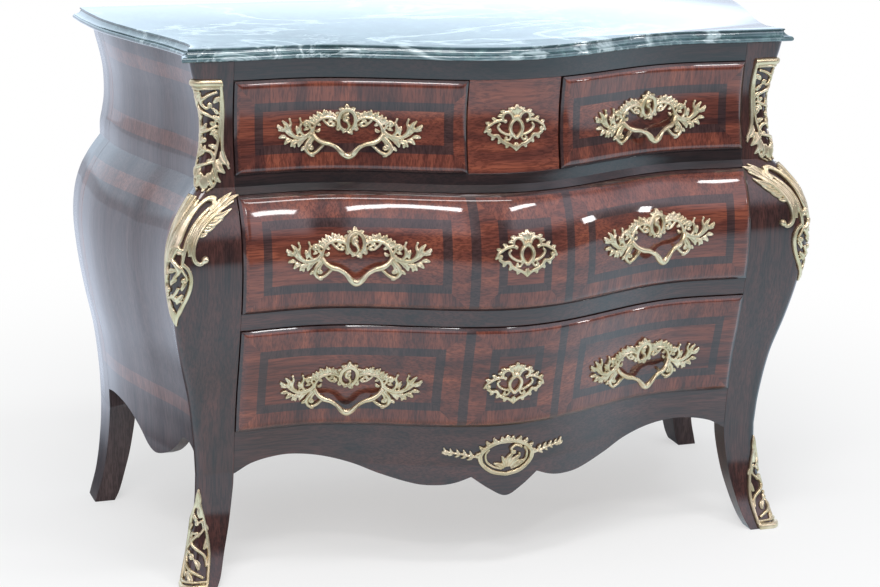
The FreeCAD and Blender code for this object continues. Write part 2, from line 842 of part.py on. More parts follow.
def handle(cx, cz):
    """A cast pull: two leafy wings, a crest and a bowed grip that stands off the drawer."""
    offset = drawer_proud + seat_gap
    crest = [(-1, .33), (-.84, .44), (-.62, .38), (-.46, .64), (-.3, .62), (-.12, .86), (0, 1)]
    belly = [(1, .33), (.9, -.2), (.8, -.5), (.66, -.68), (.56, -.98), (.44, -.86), (.42, -.6), (.5, -.25),
             (.4, .16), (.2, .24), (.1, -.06), (0, -.18)]
    upper = crest + [(-u, v) for u, v in reversed(crest[:-1])]
    lower = belly + [(-u, v) for u, v in reversed(belly[:-1])]
    runs = [[(cx + handle_half * u, cz + (handle_rise if v > 0 else handle_fall) * v) for u, v in run]
            for run in (upper, lower)]
    runs[1][0] = runs[0][-1]
    runs[1][-1] = runs[0][0]
    plate = draped(runs, offset, cast_thick, cx - handle_half, cx + handle_half, cz - handle_fall,
                   cz + handle_rise)
    bow = []
    for t in spread(-1, 1, 17):
        x = cx + grip_half * t
        z = cz - grip_drop * grip_shape(abs(t))
        stand = grip_foot + (grip_stand - grip_foot) * (1 - t ** 4)
        bow.append(V(x, field_y(x, z) - stand, z))
    ring = Part.Wire([Part.Circle(bow[0], bow[1] - bow[0], grip_radius).toShape()])
    casting = plate.fuse(Part.Wire([path(bow)]).makePipeShell([ring], True, True))
    for side in (-1, 1):
        x = cx + side * grip_half
        boss = draped([circle(x, cz, boss_radius)], offset + cast_thick / 2, cast_thick / 2 + boss_proud,
                      x - boss_radius, x + boss_radius, cz - boss_radius, cz + boss_radius)
        casting = casting.fuse(boss)
    for side in (-1, 1):
        casting = casting.cut(screw_hole(cx + side * grip_half, cz, screw_radius, screw_bite))
    return casting


def screw_hole(x, z, radius, bite):
    """A bore along Y from inside the drawer to a given reach past the drawer's face."""
    y = field_y(x, z) - seat_gap - bite
    return Part.makeCylinder(radius, front_board * 3, V(x, y, z), V(0, 1, 0))


def screw(x, z):
    """A handle bolt with its head inside the drawer."""
    tip = field_y(x, z) - seat_gap - screw_bite
    seat = max(back_of_front(x + dx, z + dz) for dx in (-screw_head_radius, screw_head_radius)
               for dz in (-screw_head_radius, screw_head_radius))
    shank = Part.makeCylinder(screw_radius, seat - tip, V(x, tip, z), V(0, 1, 0))
    head = Part.makeCylinder(screw_head_radius, screw_head, V(x, seat, z), V(0, 1, 0))
    return shank.fuse(head).removeSplitter()


def turned(half):
    """Complete the right half of a symmetric outline, listed from its top to its foot."""
    return [half + [(-u, v) for u, v in reversed(half[1:-1])] + half[:1]]


def scaled(runs, half, tall, cz):
    """Scale an outline's shares to a plate's half sizes about its centre."""
    return [[(half * u, cz + tall * v) for u, v in run] for run in runs]


def escutcheon(cz, offset):
    """A shield with leafy edges, on the middle of the front."""
    half = [(0, 1), (.22, .86), (.42, .72), (.5, .38), (.74, .14), (.97, .1), (.95, -.3), (.66, -.44),
            (.44, -.68), (.2, -.82), (0, -1)]
    runs = scaled(turned(half), escutcheon_half, escutcheon_half_height, cz)
    return draped(runs, offset, cast_thick, -escutcheon_half, escutcheon_half, cz - escutcheon_half_height,
                  cz + escutcheon_half_height)


def apron_mount(cz):
    """An oval cartouche between two leaf sprays on the apron."""
    half = [(0, 1), (.24, .84), (.43, .42), (.6, .3), (.8, .42), (1, .3), (.8, 0), (.6, -.1), (.45, -.2),
            (.36, -.68), (.18, -.94), (0, -1)]
    runs = scaled(turned(half), apron_mount_half, apron_mount_half_height, cz)
    plate = draped(runs, seat_gap, cast_thick, -apron_mount_half, apron_mount_half,
                   cz - apron_mount_half_height, cz + apron_mount_half_height)
    window = circle(0, cz, apron_mount_half * .3, apron_mount_half_height * .5)
    return plate.cut(prism_y([window], front_line - cut_reach, front_line + cut_reach))


def wrap_section(z, front_share, side_width):
    """Section of a mount that wraps the front corner: a bent band just off the post.

    front_share is how much of the stile it covers, and side_width how far it reaches round the side.
    """
    arris = corner(z)[0] - corner_cant
    turn, middle, _ = post_turns(z)
    inner = arris - (arris - leg_inner(z) - mount_clear) * front_share
    rear = turn + side_width
    via = min(middle, turn + side_width * wrap_via)

    def ring(off):
        return [V(inner, front_y(inner, z) - off, z), V(arris + off * 0.4, front_y(arris, z) - off, z),
                V(side_x(turn, z) + off, turn - off * 0.4, z), V(post_side(via, z) + off, via, z),
                V(post_side(rear, z) + off, rear, z)]

    points = ring(mount_gap + cast_thick) + list(reversed(ring(mount_gap)))
    return Part.makePolygon(points + points[:1])


def wrapped(z0, z1, shape, side_width):
    """A corner mount lofted through bands: each has a share of height, front width and side width."""
    front = smooth([(t, share) for t, share, _ in shape])
    side = smooth([(t, share) for t, _, share in shape])
    return lofted([wrap_section(z0 + (z1 - z0) * t, front(t), side_width * side(t))
                   for t in spread(0, 1, int((z1 - z0) / wrap_step) + 1)])


def upper_mount():
    """Right upper corner mount under the frieze."""
    top = z_case - upper_mount_drop
    shape = [(0, .3, .5), (.08, .38, .7), (.17, .52, .7), (.26, .62, .55), (.33, .5, .5), (.5, .42, .6),
             (.7, .5, .7), (.9, .62, .85), (1, .8, 1)]
    return wrapped(top - upper_mount_height, top, shape, upper_mount_side)


def lower_mount():
    """Right lower corner mount on the swell."""
    top = z_crease - lower_mount_drop
    shape = [(0, .03, .2), (.12, .1, .35), (.25, .22, .6), (.4, .36, .85), (.52, .42, 1), (.66, .5, 1),
             (.8, .62, .85), (.9, .8, .7), (.96, .98, .5), (1, .9, .3)]
    return wrapped(top - lower_mount_height, top, shape, lower_mount_side)


def sabot():
    """Right front foot's sabot."""
    shape = [(0, .55, .8), (.06, .6, .9), (.15, .64, .9), (.3, .62, .8), (.5, .52, .6), (.7, .42, .4),
             (.85, .3, .25), (1, .08, .08)]
    return wrapped(0, sabot_height, shape, sabot_side)


# ---------------------------------------------------------------- write every node
os.makedirs("parts", exist_ok=True)

top_middle = (z_upper + z_frieze) / 2
middle_middle = (z_middle + z_upper_rail) / 2
bottom_middle = (z_apron + z_lower_rail) / 2
middle_lock = Lock(middle_middle - middle_plate_drop, z_upper_rail)
bottom_lock = Lock(bottom_middle - bottom_plate_drop, z_lower_rail)

save("marble_top", marble_top())
for node, make in (("front_post", front_post), ("rear_post", rear_post), ("side_panel", side_panel),
                   ("upper_mount", upper_mount), ("lower_mount", lower_mount), ("sabot", sabot)):
    right = make()
    save(node + "_right", right)
    save(node + "_left", mirrored(right))
save("frieze_rail", frieze_rail())
save("upper_rail", upper_rail())
save("lower_rail", lower_rail())
save("front_apron", front_apron())
save("centre_panel", centre_panel())
save("sub_top", floor_board(z_case - sub_top_stock, z_case))
save("upper_dust_panel", floor_board(z_upper - board_stock, z_upper))
save("lower_dust_panel", floor_board(z_middle - board_stock, z_middle))
save("bottom_board", floor_board(z_apron - board_stock, z_apron))
save("back_panel", back_panel())
save("partitions", *partitions())
save("drawer_guides", *drawer_guides())
save("drawer_stops", *drawer_stops())
save("top_escutcheon", escutcheon(top_middle - top_plate_drop, seat_gap))
save("apron_mount", apron_mount(z_knee + apron_mount_rise))

drawers = [
    Drawer("top_left", -opening_half, -partition_half, z_upper, z_frieze, [-handle_at], top_handle_drop),
    Drawer("top_right", partition_half, opening_half, z_upper, z_frieze, [handle_at], top_handle_drop),
    Drawer("middle", -opening_half, opening_half, z_middle, z_upper_rail, [-handle_at, handle_at],
           middle_handle_drop, middle_lock),
    Drawer("bottom", -opening_half, opening_half, z_apron, z_lower_rail, [-handle_at, handle_at],
           bottom_handle_drop, bottom_lock),
]
for drawer in drawers:
    height = drawer.handle_z
    screw_places = [x + side * grip_half for x in drawer.handles for side in (-1, 1)]
    front = drawer_front(*drawer.front)
    for x in screw_places:
        front = front.cut(screw_hole(x, height, screw_radius + screw_clear, screw_bite))
    if drawer.lock:
        lock = drawer.lock
        for cut in lock.front_cuts():
            front = front.cut(cut)
        plate = escutcheon(lock.key_z, drawer_proud + seat_gap)
        save(drawer.name + "_escutcheon", plate.cut(lock.keyhole()))
        save(drawer.name + "_lock_case", lock.case())
        save(drawer.name + "_lock_bolt", lock.bolt())
        save(drawer.name + "_handle_left", handle(-handle_at, height))
        save(drawer.name + "_handle_right", handle(handle_at, height))
    else:
        save(drawer.name + "_handle", handle(drawer.handles[0], height))
    save(drawer.name + "_front", front)
    save(drawer.name + "_sides", *drawer.sides())
    save(drawer.name + "_back", drawer.back())
    save(drawer.name + "_bottom", drawer.bottom())
    save(drawer.name + "_screws", *[screw(x, height) for x in screw_places])
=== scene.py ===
"""Looks of a bombe chest of drawers: veneers, marble and gilt castings over its solid frame.

Sizes are millimetres until a mesh is made; the frame itself is in metres.  The front faces -Y and
the origin is on the floor, under the middle of the chest.
"""
import json
import logging
import math
from dataclasses import dataclass, field, replace
from enum import Enum
from functools import reduce
from typing import Callable, ClassVar, Iterable, Sequence

import bmesh
import bpy
import numpy as np
from mathutils import Matrix, Vector


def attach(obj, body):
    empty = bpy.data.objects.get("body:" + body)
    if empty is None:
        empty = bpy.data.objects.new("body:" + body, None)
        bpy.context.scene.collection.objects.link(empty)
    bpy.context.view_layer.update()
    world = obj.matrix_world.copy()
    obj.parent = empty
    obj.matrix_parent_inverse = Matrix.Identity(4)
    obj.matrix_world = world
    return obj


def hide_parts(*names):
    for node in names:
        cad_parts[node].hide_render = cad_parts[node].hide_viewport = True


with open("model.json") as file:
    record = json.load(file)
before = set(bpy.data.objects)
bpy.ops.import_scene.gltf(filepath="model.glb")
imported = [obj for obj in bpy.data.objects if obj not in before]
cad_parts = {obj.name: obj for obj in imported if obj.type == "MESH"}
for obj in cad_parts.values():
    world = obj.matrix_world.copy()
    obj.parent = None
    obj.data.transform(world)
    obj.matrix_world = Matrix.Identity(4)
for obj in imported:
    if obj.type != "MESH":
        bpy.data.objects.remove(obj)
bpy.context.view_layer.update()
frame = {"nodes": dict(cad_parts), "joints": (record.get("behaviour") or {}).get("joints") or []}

LOG = logging.getLogger("bombe_chest")
MM = .001
SIDES = ("right", "left")
Triple = tuple[float, float, float]
Colour = Triple
Place = tuple[float, float]
Array = np.ndarray
Number = float | Array
Piece = bpy.types.Object
Material = bpy.types.Material
Socket = bpy.types.NodeSocket
WHITE: Colour = (1.0, 1.0, 1.0)
BLACK: Colour = (0.0, 0.0, 0.0)


class Body(Enum):
    """What a piece moves with."""

    CASE = "root"
    TOP_LEFT = "top_left_drawer"
    TOP_RIGHT = "top_right_drawer"
    MIDDLE = "middle_drawer"
    BOTTOM = "bottom_drawer"


class Slot(Enum):
    """The finish that a piece belongs to."""

    MARBLE = "marble"
    KINGWOOD = "kingwood"
    DARK_VENEER = "dark_veneer"
    CARCASS = "carcass_wood"
    GILT = "gilt_casting"
    BRASS = "brass"
    STEEL = "lock_steel"


# ---- the chest's curves ----
class Curve:
    """A smooth curve through (place, value) pairs, flat before the first and after the last."""

    def __init__(self, pairs: Sequence[tuple[float, float]]) -> None:
        """Keep the pairs and their central slopes."""
        self.places = np.array([place for place, _ in pairs], float)
        self.values = np.array([value for _, value in pairs], float)
        order = np.arange(len(pairs))
        before = np.maximum(order - 1, 0)
        after = np.minimum(order + 1, len(pairs) - 1)
        rise = self.values[after] - self.values[before]
        self.slopes = rise / (self.places[after] - self.places[before])

    def __call__(self, place: Number) -> Array:
        """Return the curve's value at one place or many."""
        at = np.clip(place, self.places[0], self.places[-1])
        i = np.clip(np.searchsorted(self.places, at, side="right") - 1, 0, len(self.places) - 2)
        run = self.places[i + 1] - self.places[i]
        t = (at - self.places[i]) / run
        low = self.values[i] * (1 + 2 * t) * (1 - t) ** 2 + self.slopes[i] * run * t * (1 - t) ** 2
        high = self.values[i + 1] * t * t * (3 - 2 * t) + self.slopes[i + 1] * run * t * t * (t - 1)
        return low + high


# How the faces bend: shares of a reach against shares of a height, a depth or a half width.
SWELL = Curve([(0, 0), (.12, .07), (.28, .27), (.42, .58), (.54, .81), (.66, .97), (.74, 1),
               (.82, .92), (.885, .73), (.93, .5), (.965, .27), (1, 0)])
COVE = Curve([(0, 0), (.12, .12), (.22, .5), (.33, .85), (.45, 1), (.6, .98), (.75, .65),
              (.88, .25), (1, 0)])
KICK = Curve([(0, 1), (.1, .80), (.24, .52), (.4, .31), (.56, .17), (.78, .04), (1, 0)])
INNER = Curve([(0, 1), (.1, .78), (.32, .5), (.54, .26), (.86, .04), (1, 0)])
SIDE_LOBES = Curve([(0, 1.09), (.04, 1.15), (.09, 1.19), (.15, 1.18), (.22, 1.06), (.3, .96),
                    (.41, .89), (.49, .93), (.585, 1.06), (.69, 1.17), (.79, 1.215), (.9, 1.22),
                    (1, 1.19)])
LOBE = .132
APRON_LOBE = Curve([(-LOBE, .9), (-.064, .783), (0, .711), (.064, .783), (LOBE, .9)])
APRON_ARCH = Curve([(LOBE, .9), (.192, .845), (.25, .822), (.33, .83), (.456, .917),
                    (.547, 1.006), (.639, 1.072), (.73, 1.111), (.82, 1.122), (.93, 1.078),
                    (1, .989)])
# How much narrower the case is, in millimetres, at a depth behind the front line.
FLANK_START, FLANK_RUN, FLANK_REACH = 50, 380, 73
FLANK = [(.13, .92), (.27, .74), (.39, .54), (.53, .345), (.66, .18), (.79, .07), (1, 0)]
SIDE_NARROW = Curve([(-50, 54), (15, 60), (FLANK_START, FLANK_REACH)]
                    + [(FLANK_START + FLANK_RUN * t, FLANK_REACH * share) for t, share in FLANK])


def spread(low: float, high: float, count: int) -> Array:
    """Return count values from low to high, evenly spaced."""
    return np.linspace(low, high, count)


def ease(t: Number) -> Array:
    """Rise from 0 to 1 with level ends."""
    t = np.clip(t, 0.0, 1.0)
    return t * t * (3 - 2 * t)


def mesh_points(mesh: bpy.types.Mesh) -> Array:
    """Return a mesh's points, row by row."""
    points = np.empty(len(mesh.vertices) * 3)
    mesh.vertices.foreach_get("co", points)
    return points.reshape(-1, 3)


def plan(x: Number, y: Number) -> Array:
    """Pair places across with places in depth."""
    return np.stack(np.broadcast_arrays(x, y), axis=-1)


def raised(ring: Array, z: float) -> Array:
    """Lift a plan to a height."""
    return np.column_stack([ring, np.full(len(ring), z)])


@dataclass(frozen=True)
class CaseForm:
    """The levels of the case and the surfaces of its front, sides, legs and marble."""

    knee: float = 180.0
    apron: float = 251.0
    lower_rail: float = 430.0
    middle: float = 459.0
    upper_rail: float = 644.0
    crease: float = 655.0
    upper: float = 673.0
    frieze: float = 822.0
    case_top: float = 853.0
    slab_thick: float = 20.0
    front_line: float = -170.0
    slab_depth: float = 482.0
    back_overhang: float = 12.0
    front_overhang: float = 12.0
    rear_overhang: float = 30.0
    centre_bulge: float = 90.0
    bulge_half: float = 340.0
    hollow_depth: float = 6.0
    stile_set: float = 1.0
    opening_half: float = 438.5
    partition_half: float = 79.0
    corner_cant: float = 11.0
    post_depth: float = 62.0
    front_stock: float = 22.0
    side_stock: float = 18.0
    rear_inner: float = 515.0
    rear_post_depth: float = 70.0
    leg_depth_knee: float = 40.0
    leg_depth_foot: float = 32.0
    knee_rise: float = 56.0
    inner_kick: float = 40.0
    rear_foot_depth: float = 50.0
    rear_foot_width: float = 36.0
    side_ends: Triple = (563.0, 557.0, 568.0)
    side_bulges: Triple = (24.0, 47.5, 13.0)
    front_ends: Triple = (-12.0, -2.0, -4.0)
    front_bulges: Triple = (46.0, 49.5, 10.0)
    corner_rounds: int = 12

    @property
    def case_back(self) -> float:
        """The plane of the posts' back faces."""
        return self.front_line + self.slab_depth - self.back_overhang

    @property
    def post_back(self) -> float:
        """The back of the front posts above the knee."""
        return self.front_line + self.post_depth

    @property
    def rear_post_front(self) -> float:
        """The front of the rear posts above the knee."""
        return self.case_back - self.rear_post_depth

    def profile(self, z: Number, ends: Triple, bulges: Triple) -> Array:
        """Blend one face's profile.

        Args:
            z: Height, one or many.
            ends: Values at the knee, at the crease and at the top.
            bulges: Reach of the foot's kick, of the swell and of the cove.

        Returns:
            The profile's value at each height.
        """
        z = np.asarray(z, float)
        knee, crease, top = ends
        kick, swell, cove = bulges
        leg = knee + kick * KICK(z / self.knee)
        low = (z - self.knee) / (self.crease - self.knee)
        body = knee + (crease - knee) * low + swell * SWELL(low)
        high = (z - self.crease) / (self.case_top - self.crease)
        head = crease + (top - crease) * high - cove * COVE(high)
        return np.where(z >= self.crease, head, np.where(z >= self.knee, body, leg))

    def half_width(self, z: Number) -> Array:
        """Half width of the case at its back."""
        return self.profile(z, self.side_ends, self.side_bulges)

    def front_reach(self, z: Number) -> Array:
        """How far the stiles lie in front of the front line."""
        return self.profile(z, self.front_ends, self.front_bulges)

    def serpentine(self, x: Number) -> Array:
        """Set-back of the front's plan: a central bulge between two hollows and flat stiles."""
        x = np.abs(x)
        bell = .5 + .5 * np.cos(np.pi * np.minimum(x / self.bulge_half, 1.0))
        turn = ease((x - self.bulge_half) / (self.opening_half - self.bulge_half))
        hollow = self.hollow_depth + (self.stile_set - self.hollow_depth) * turn
        return np.where(x <= self.bulge_half, self.hollow_depth - self.centre_bulge * bell, hollow)

    def front_y(self, x: Number, z: Number) -> Array:
        """The case's front face."""
        return self.front_line - self.front_reach(z) + self.serpentine(x)

    def side_x(self, y: Number, z: Number) -> Array:
        """The case's right side face."""
        return self.half_width(z) - SIDE_NARROW(np.asarray(y, float) - self.front_line)

    def corner(self, z: Number) -> tuple[Array, Array]:
        """Where the front and the right side would meet."""
        x = np.full_like(np.asarray(z, float), self.opening_half)
        y = np.full_like(x, self.front_line)
        for _ in range(self.corner_rounds):
            y = self.front_y(x, z)
            x = self.side_x(y, z)
        return x, y

    def leg_inner(self, z: Number) -> Array:
        """Inner edge of the right front leg, or of the stile above it."""
        kick = INNER(np.minimum(np.asarray(z) / self.knee, 1.0))
        return self.opening_half + self.inner_kick * kick

    def post_rear(self, z: Number) -> Array:
        """The back face of a front post."""
        z = np.asarray(z, float)
        depth = self.leg_depth_foot + (self.leg_depth_knee - self.leg_depth_foot) * z / self.knee
        leg = self.front_line - self.front_reach(z) + self.stile_set + depth
        knee_front = self.front_line - float(self.front_reach(self.knee)) + self.stile_set
        start = knee_front + self.leg_depth_knee
        body = start + (self.post_back - start) * ease((z - self.knee) / self.knee_rise)
        return np.where(z < self.knee, leg, body)

    def slab_side(self, depth: Number) -> Array:
        """Half width of the marble at a depth behind its front corners."""
        growth = (self.rear_overhang - self.front_overhang) * depth / self.slab_depth
        overhang = self.front_overhang + growth
        return self.side_x(self.front_line + depth, self.case_top) + overhang


FORM = CaseForm()


# ---- meshes ----
def placed(name: str, data: bpy.types.ID) -> Piece:
    """Make an object of a mesh, a lamp or a camera and put it in the scene."""
    piece = bpy.data.objects.new(name, data)
    bpy.context.scene.collection.objects.link(piece)
    return piece


class Shell:
    """A closed mesh gathered from grids of points, in millimetres."""

    weld: ClassVar[float] = .02
    sliver: ClassVar[float] = .005

    def __init__(self) -> None:
        """Start with nothing."""
        self.points: list[Array] = []
        self.faces: list[list[int]] = []
        self.count = 0

    def _take(self, points: Array) -> int:
        """Keep points and return the index of the first."""
        start = self.count
        self.points.append(points.reshape(-1, 3))
        self.count += len(self.points[-1])
        return start

    def grid(self, points: Array, closed: bool = False) -> None:
        """Add a grid of quads.

        Args:
            points: Rows by columns by three.
            closed: Whether each row runs on from its last point to its first.
        """
        rows, columns = points.shape[:2]
        index = np.arange(rows * columns).reshape(rows, columns) + self._take(points)
        if closed:
            index = np.concatenate([index, index[:, :1]], axis=1)
        quads = np.stack([index[:-1, :-1], index[:-1, 1:], index[1:, 1:], index[1:, :-1]], axis=-1)
        self.faces.extend(quads.reshape(-1, 4).tolist())

    def lid(self, ring: Array) -> None:
        """Close a ring of points with one face."""
        start = self._take(ring)
        self.faces.append(list(range(start, start + len(ring))))

    def slab(self, front: Array, back: Array) -> None:
        """Add a board between two grids of the same shape."""
        self.grid(front)
        self.grid(back)
        for pick in (np.s_[0], np.s_[-1], np.s_[:, 0], np.s_[:, -1]):
            self.grid(np.stack([front[pick], back[pick]]))

    def tube(self, rings: Array) -> None:
        """Add a closed skin through rings of points, with a lid at each end."""
        self.grid(rings, closed=True)
        self.lid(rings[0])
        self.lid(rings[-1])

    def take_mesh(self, mesh: bpy.types.Mesh) -> None:
        """Add a mesh that is already in millimetres."""
        points = mesh_points(mesh)
        start = self._take(points)
        self.faces.extend([start + i for i in face.vertices] for face in mesh.polygons)

    def raw(self, name: str) -> Piece:
        """Make a bare object of the shell, in millimetres, to work on."""
        mesh = bpy.data.meshes.new(name)
        mesh.from_pydata(np.concatenate(self.points).tolist(), [], self.faces)
        return placed(name, mesh)

    def build(self, name: str, material: Material, crease: float = 32.0,
              mirrored: bool = False) -> Piece:
        """Make the object, welded, facing outwards and smooth between sharp edges.

        Args:
            name: The piece's name.
            material: Its finish.
            crease: Edges sharper than this many degrees stay sharp.
            mirrored: Whether to make the twin on the other side of the middle plane.

        Returns:
            The new object, linked to the scene.
        """
        points = np.concatenate(self.points) * MM
        if mirrored:
            points = points * [-1, 1, 1]
        mesh = bpy.data.meshes.new(name)
        mesh.from_pydata(points.tolist(), [], self.faces)
        tool = bmesh.new()
        tool.from_mesh(mesh)
        bmesh.ops.remove_doubles(tool, verts=tool.verts, dist=self.weld * MM)
        bmesh.ops.dissolve_degenerate(tool, edges=tool.edges, dist=self.sliver * MM)
        bmesh.ops.recalc_face_normals(tool, faces=tool.faces)
        tool.to_mesh(mesh)
        tool.free()
        return finished(name, mesh, material, crease)


def finished(name: str, mesh: bpy.types.Mesh, material: Material,
             crease: float = 32.0) -> Piece:
    """Make an object from a mesh, smooth between sharp edges.

    Args:
        name: The piece's name.
        mesh: Its mesh, in place.
        material: Its finish.
        crease: Edges sharper than this many degrees stay sharp.

    Returns:
        The new object, linked to the scene.
    """
    mesh.shade_smooth()
    mesh.set_sharp_from_angle(angle=math.radians(crease))
    mesh.materials.clear()
    mesh.materials.append(material)
    return placed(name, mesh)


def soften(piece: Piece, width: float = .8, angle: float = 40.0) -> Piece:
    """Round a piece's sharp edges.

    Args:
        piece: The piece.
        width: Width of the rounding in millimetres.
        angle: Edges sharper than this many degrees are rounded.

    Returns:
        The same piece.
    """
    bevel = piece.modifiers.new("softened_edges", "BEVEL")
    bevel.width = width * MM
    bevel.segments = 2
    bevel.limit_method = "ANGLE"
    bevel.angle_limit = math.radians(angle)
    bevel.harden_normals = True
    return piece


def dress(piece: Piece, body: Body, slot: Slot, *nodes: str) -> Piece:
    """Put a piece on its body and hide the solids that it stands for.

    Args:
        piece: A finished piece, at the origin.
        body: What it moves with.
        slot: The finish that it belongs to; not used.
        nodes: The solids that it stands for.

    Returns:
        The same piece.
    """
    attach(piece, body.value)
    if nodes:
        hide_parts(*nodes)
    LOG.info("%s: %d faces, on %s, for %s", piece.name, len(piece.data.polygons), body.value,
             nodes or "itself")
    return piece


def pair(shell: Shell, name: str, node: str, material: Material, width: float = .8) -> None:
    """Make a piece of the case and its twin on the other side.

    Args:
        shell: The right-hand piece.
        name: Name of the two pieces, without their side.
        node: Name of the solids that they stand for, without their side.
        material: Their finish.
        width: Width of the rounding of their edges in millimetres.
    """
    for side in SIDES:
        piece = shell.build(name + "_" + side, material, mirrored=side == "left")
        dress(soften(piece, width), Body.CASE, Slot.DARK_VENEER, node + "_" + side)


# ---- shader nodes ----
class Wiring:
    """A short way to add and join the nodes of a material, of the world or of a shape."""

    def __init__(self, tree: bpy.types.NodeTree) -> None:
        """Start from an empty tree."""
        self.tree = tree
        tree.nodes.clear()

    def add(self, kind: str, inputs: dict | None = None, **settings: object) -> bpy.types.Node:
        """Add a node.

        Args:
            kind: The node's type; a shader node's goes without its "ShaderNode" prefix.
            inputs: Values or sockets for its inputs, by name or by number.
            settings: The node's own properties.

        Returns:
            The node.
        """
        node = self.tree.nodes.new(kind if "Node" in kind else "ShaderNode" + kind)
        for name, value in settings.items():
            setattr(node, name, value)
        for name, value in (inputs or {}).items():
            if isinstance(value, Socket):
                self.tree.links.new(value, node.inputs[name])
            elif isinstance(value, tuple) and len(value) == 3 and node.inputs[name].type == "RGBA":
                node.inputs[name].default_value = (*value, 1.0)
            else:
                node.inputs[name].default_value = value
        return node

    def get(self, kind: str, inputs: dict | None = None, **settings: object) -> Socket:
        """Add a node and return its first output."""
        return self.add(kind, inputs, **settings).outputs[0]

    def math(self, operation: str, *values: object) -> Socket:
        """Join sockets or numbers by a sum."""
        return self.get("Math", dict(enumerate(values)), operation=operation)

    def minus(self, first: object, second: object) -> Socket:
        """Take one value from another."""
        return self.math("SUBTRACT", first, second)

    def times(self, first: object, second: object) -> Socket:
        """Multiply two values."""
        return self.math("MULTIPLY", first, second)

    def least(self, *values: object) -> Socket:
        """Return the least of some values."""
        return reduce(lambda first, second: self.math("MINIMUM", first, second), values)

    def mix(self, share: object, low: object, high: object, blend: str = "MIX") -> Socket:
        """Blend two colours by a share."""
        inputs = {0: share, 6: low, 7: high}
        return self.add("Mix", inputs, data_type="RGBA", blend_type=blend).outputs[2]

    def axes(self, place: object) -> Iterable[Socket]:
        """Split a place into X, Y and Z."""
        return self.add("SeparateXYZ", {0: place}).outputs

    def step(self, value: object, low: float, high: float) -> Socket:
        """Rise from 0 to 1 as a value goes from low to high."""
        inputs = {"Value": value, "From Min": low, "From Max": high}
        return self.get("MapRange", inputs, interpolation_type="SMOOTHSTEP")

    def beyond(self, value: object, limit: float, blur: float = .3) -> Socket:
        """Return 1 where a value passes a limit, with a soft edge; both are in millimetres."""
        return self.step(value, limit * MM - blur * MM, limit * MM + blur * MM)

    def plateau(self, value: object, rise: Place, fall: Place) -> Socket:
        """Return 1 between a rise and a fall of a value, and 0 outside them."""
        return self.least(self.step(value, *rise), self.minus(1.0, self.step(value, *fall)))

    def between(self, share: object, low: float, high: float) -> Socket:
        """Turn a share into a number between two."""
        return self.get("MapRange", {"Value": share, "To Min": low, "To Max": high})

    def stretched(self, place: object, scale: Triple, turn: Triple = (0.0, 0.0, 0.0)) -> Socket:
        """Scale a place along each axis, after an optional turn."""
        inputs = {"Vector": place, "Scale": scale, "Rotation": turn}
        return self.get("Mapping", inputs)

    def noise(self, place: object, scale: float, detail: float = 4.0, rough: float = .55,
              twist: float = 0.0) -> Socket:
        """Return a noise value between 0 and 1."""
        inputs = {"Vector": place, "Scale": scale, "Detail": detail, "Roughness": rough,
                  "Distortion": twist}
        return self.get("TexNoise", inputs)

    def ramp(self, value: object, stops: Iterable[tuple[float, Colour]]) -> Socket:
        """Turn a value into a colour through stops."""
        node = self.add("ValToRGB", {0: value})
        stops = list(stops)
        elements = node.color_ramp.elements
        while len(elements) < len(stops):
            elements.new(1.0)
        for element, (place, colour) in zip(elements, stops):
            element.position = place
            element.color = (*colour, 1.0)
        return node.outputs[0]

    def bump(self, height: object, strength: float, depth: float) -> Socket:
        """Turn a height into a normal; depth is in metres."""
        inputs = {"Height": height, "Strength": strength, "Distance": depth}
        return self.get("Bump", inputs)

    def finish(self, inputs: dict) -> None:
        """End a material's tree with its shader."""
        self.add("OutputMaterial", {"Surface": self.get("BsdfPrincipled", inputs)})


def new_material(name: str) -> tuple[Material, Wiring, Socket]:
    """Make an empty material; return it with its wiring and its object coordinates."""
    material = bpy.data.materials.new(name)
    material.use_nodes = True
    wiring = Wiring(material.node_tree)
    return material, wiring, wiring.add("TexCoord").outputs["Object"]


class Run(Enum):
    """The axis that a wood's grain runs along."""

    ACROSS = 0
    DEEP = 1
    UPRIGHT = 2


@dataclass(frozen=True)
class Grain:
    """A wood's broad figure and fine pores, in noise scales across and along the grain."""

    across: float = 46.0
    along: float = 2.2
    pore_across: float = 430.0
    pore_along: float = 14.0
    detail: float = 5.0
    rough: float = .6
    twist: float = .35
    pore_tone: Colour = (.5, .5, .5)
    pore_stops: Place = (.42, .56)
    pore_noise: Place = (3.0, .6)

    def figure(self, wiring: Wiring, place: object, run: Run) -> tuple[Socket, Socket]:
        """Return the figure and the pores of the wood, each between 0 and 1."""
        broad, fine = [self.across] * 3, [self.pore_across] * 3
        broad[run.value], fine[run.value] = self.along, self.pore_along
        figure = wiring.noise(wiring.stretched(place, tuple(broad)), 1.0, self.detail, self.rough,
                              self.twist)
        return figure, wiring.noise(wiring.stretched(place, tuple(fine)), 1.0, *self.pore_noise)

    def specked(self, wiring: Wiring, wood: object, pores: object) -> Socket:
        """Darken a wood's colour in its pores."""
        low, high = self.pore_stops
        speck = wiring.ramp(pores, [(low, self.pore_tone), (high, WHITE)])
        return wiring.mix(1.0, wood, speck, "MULTIPLY")


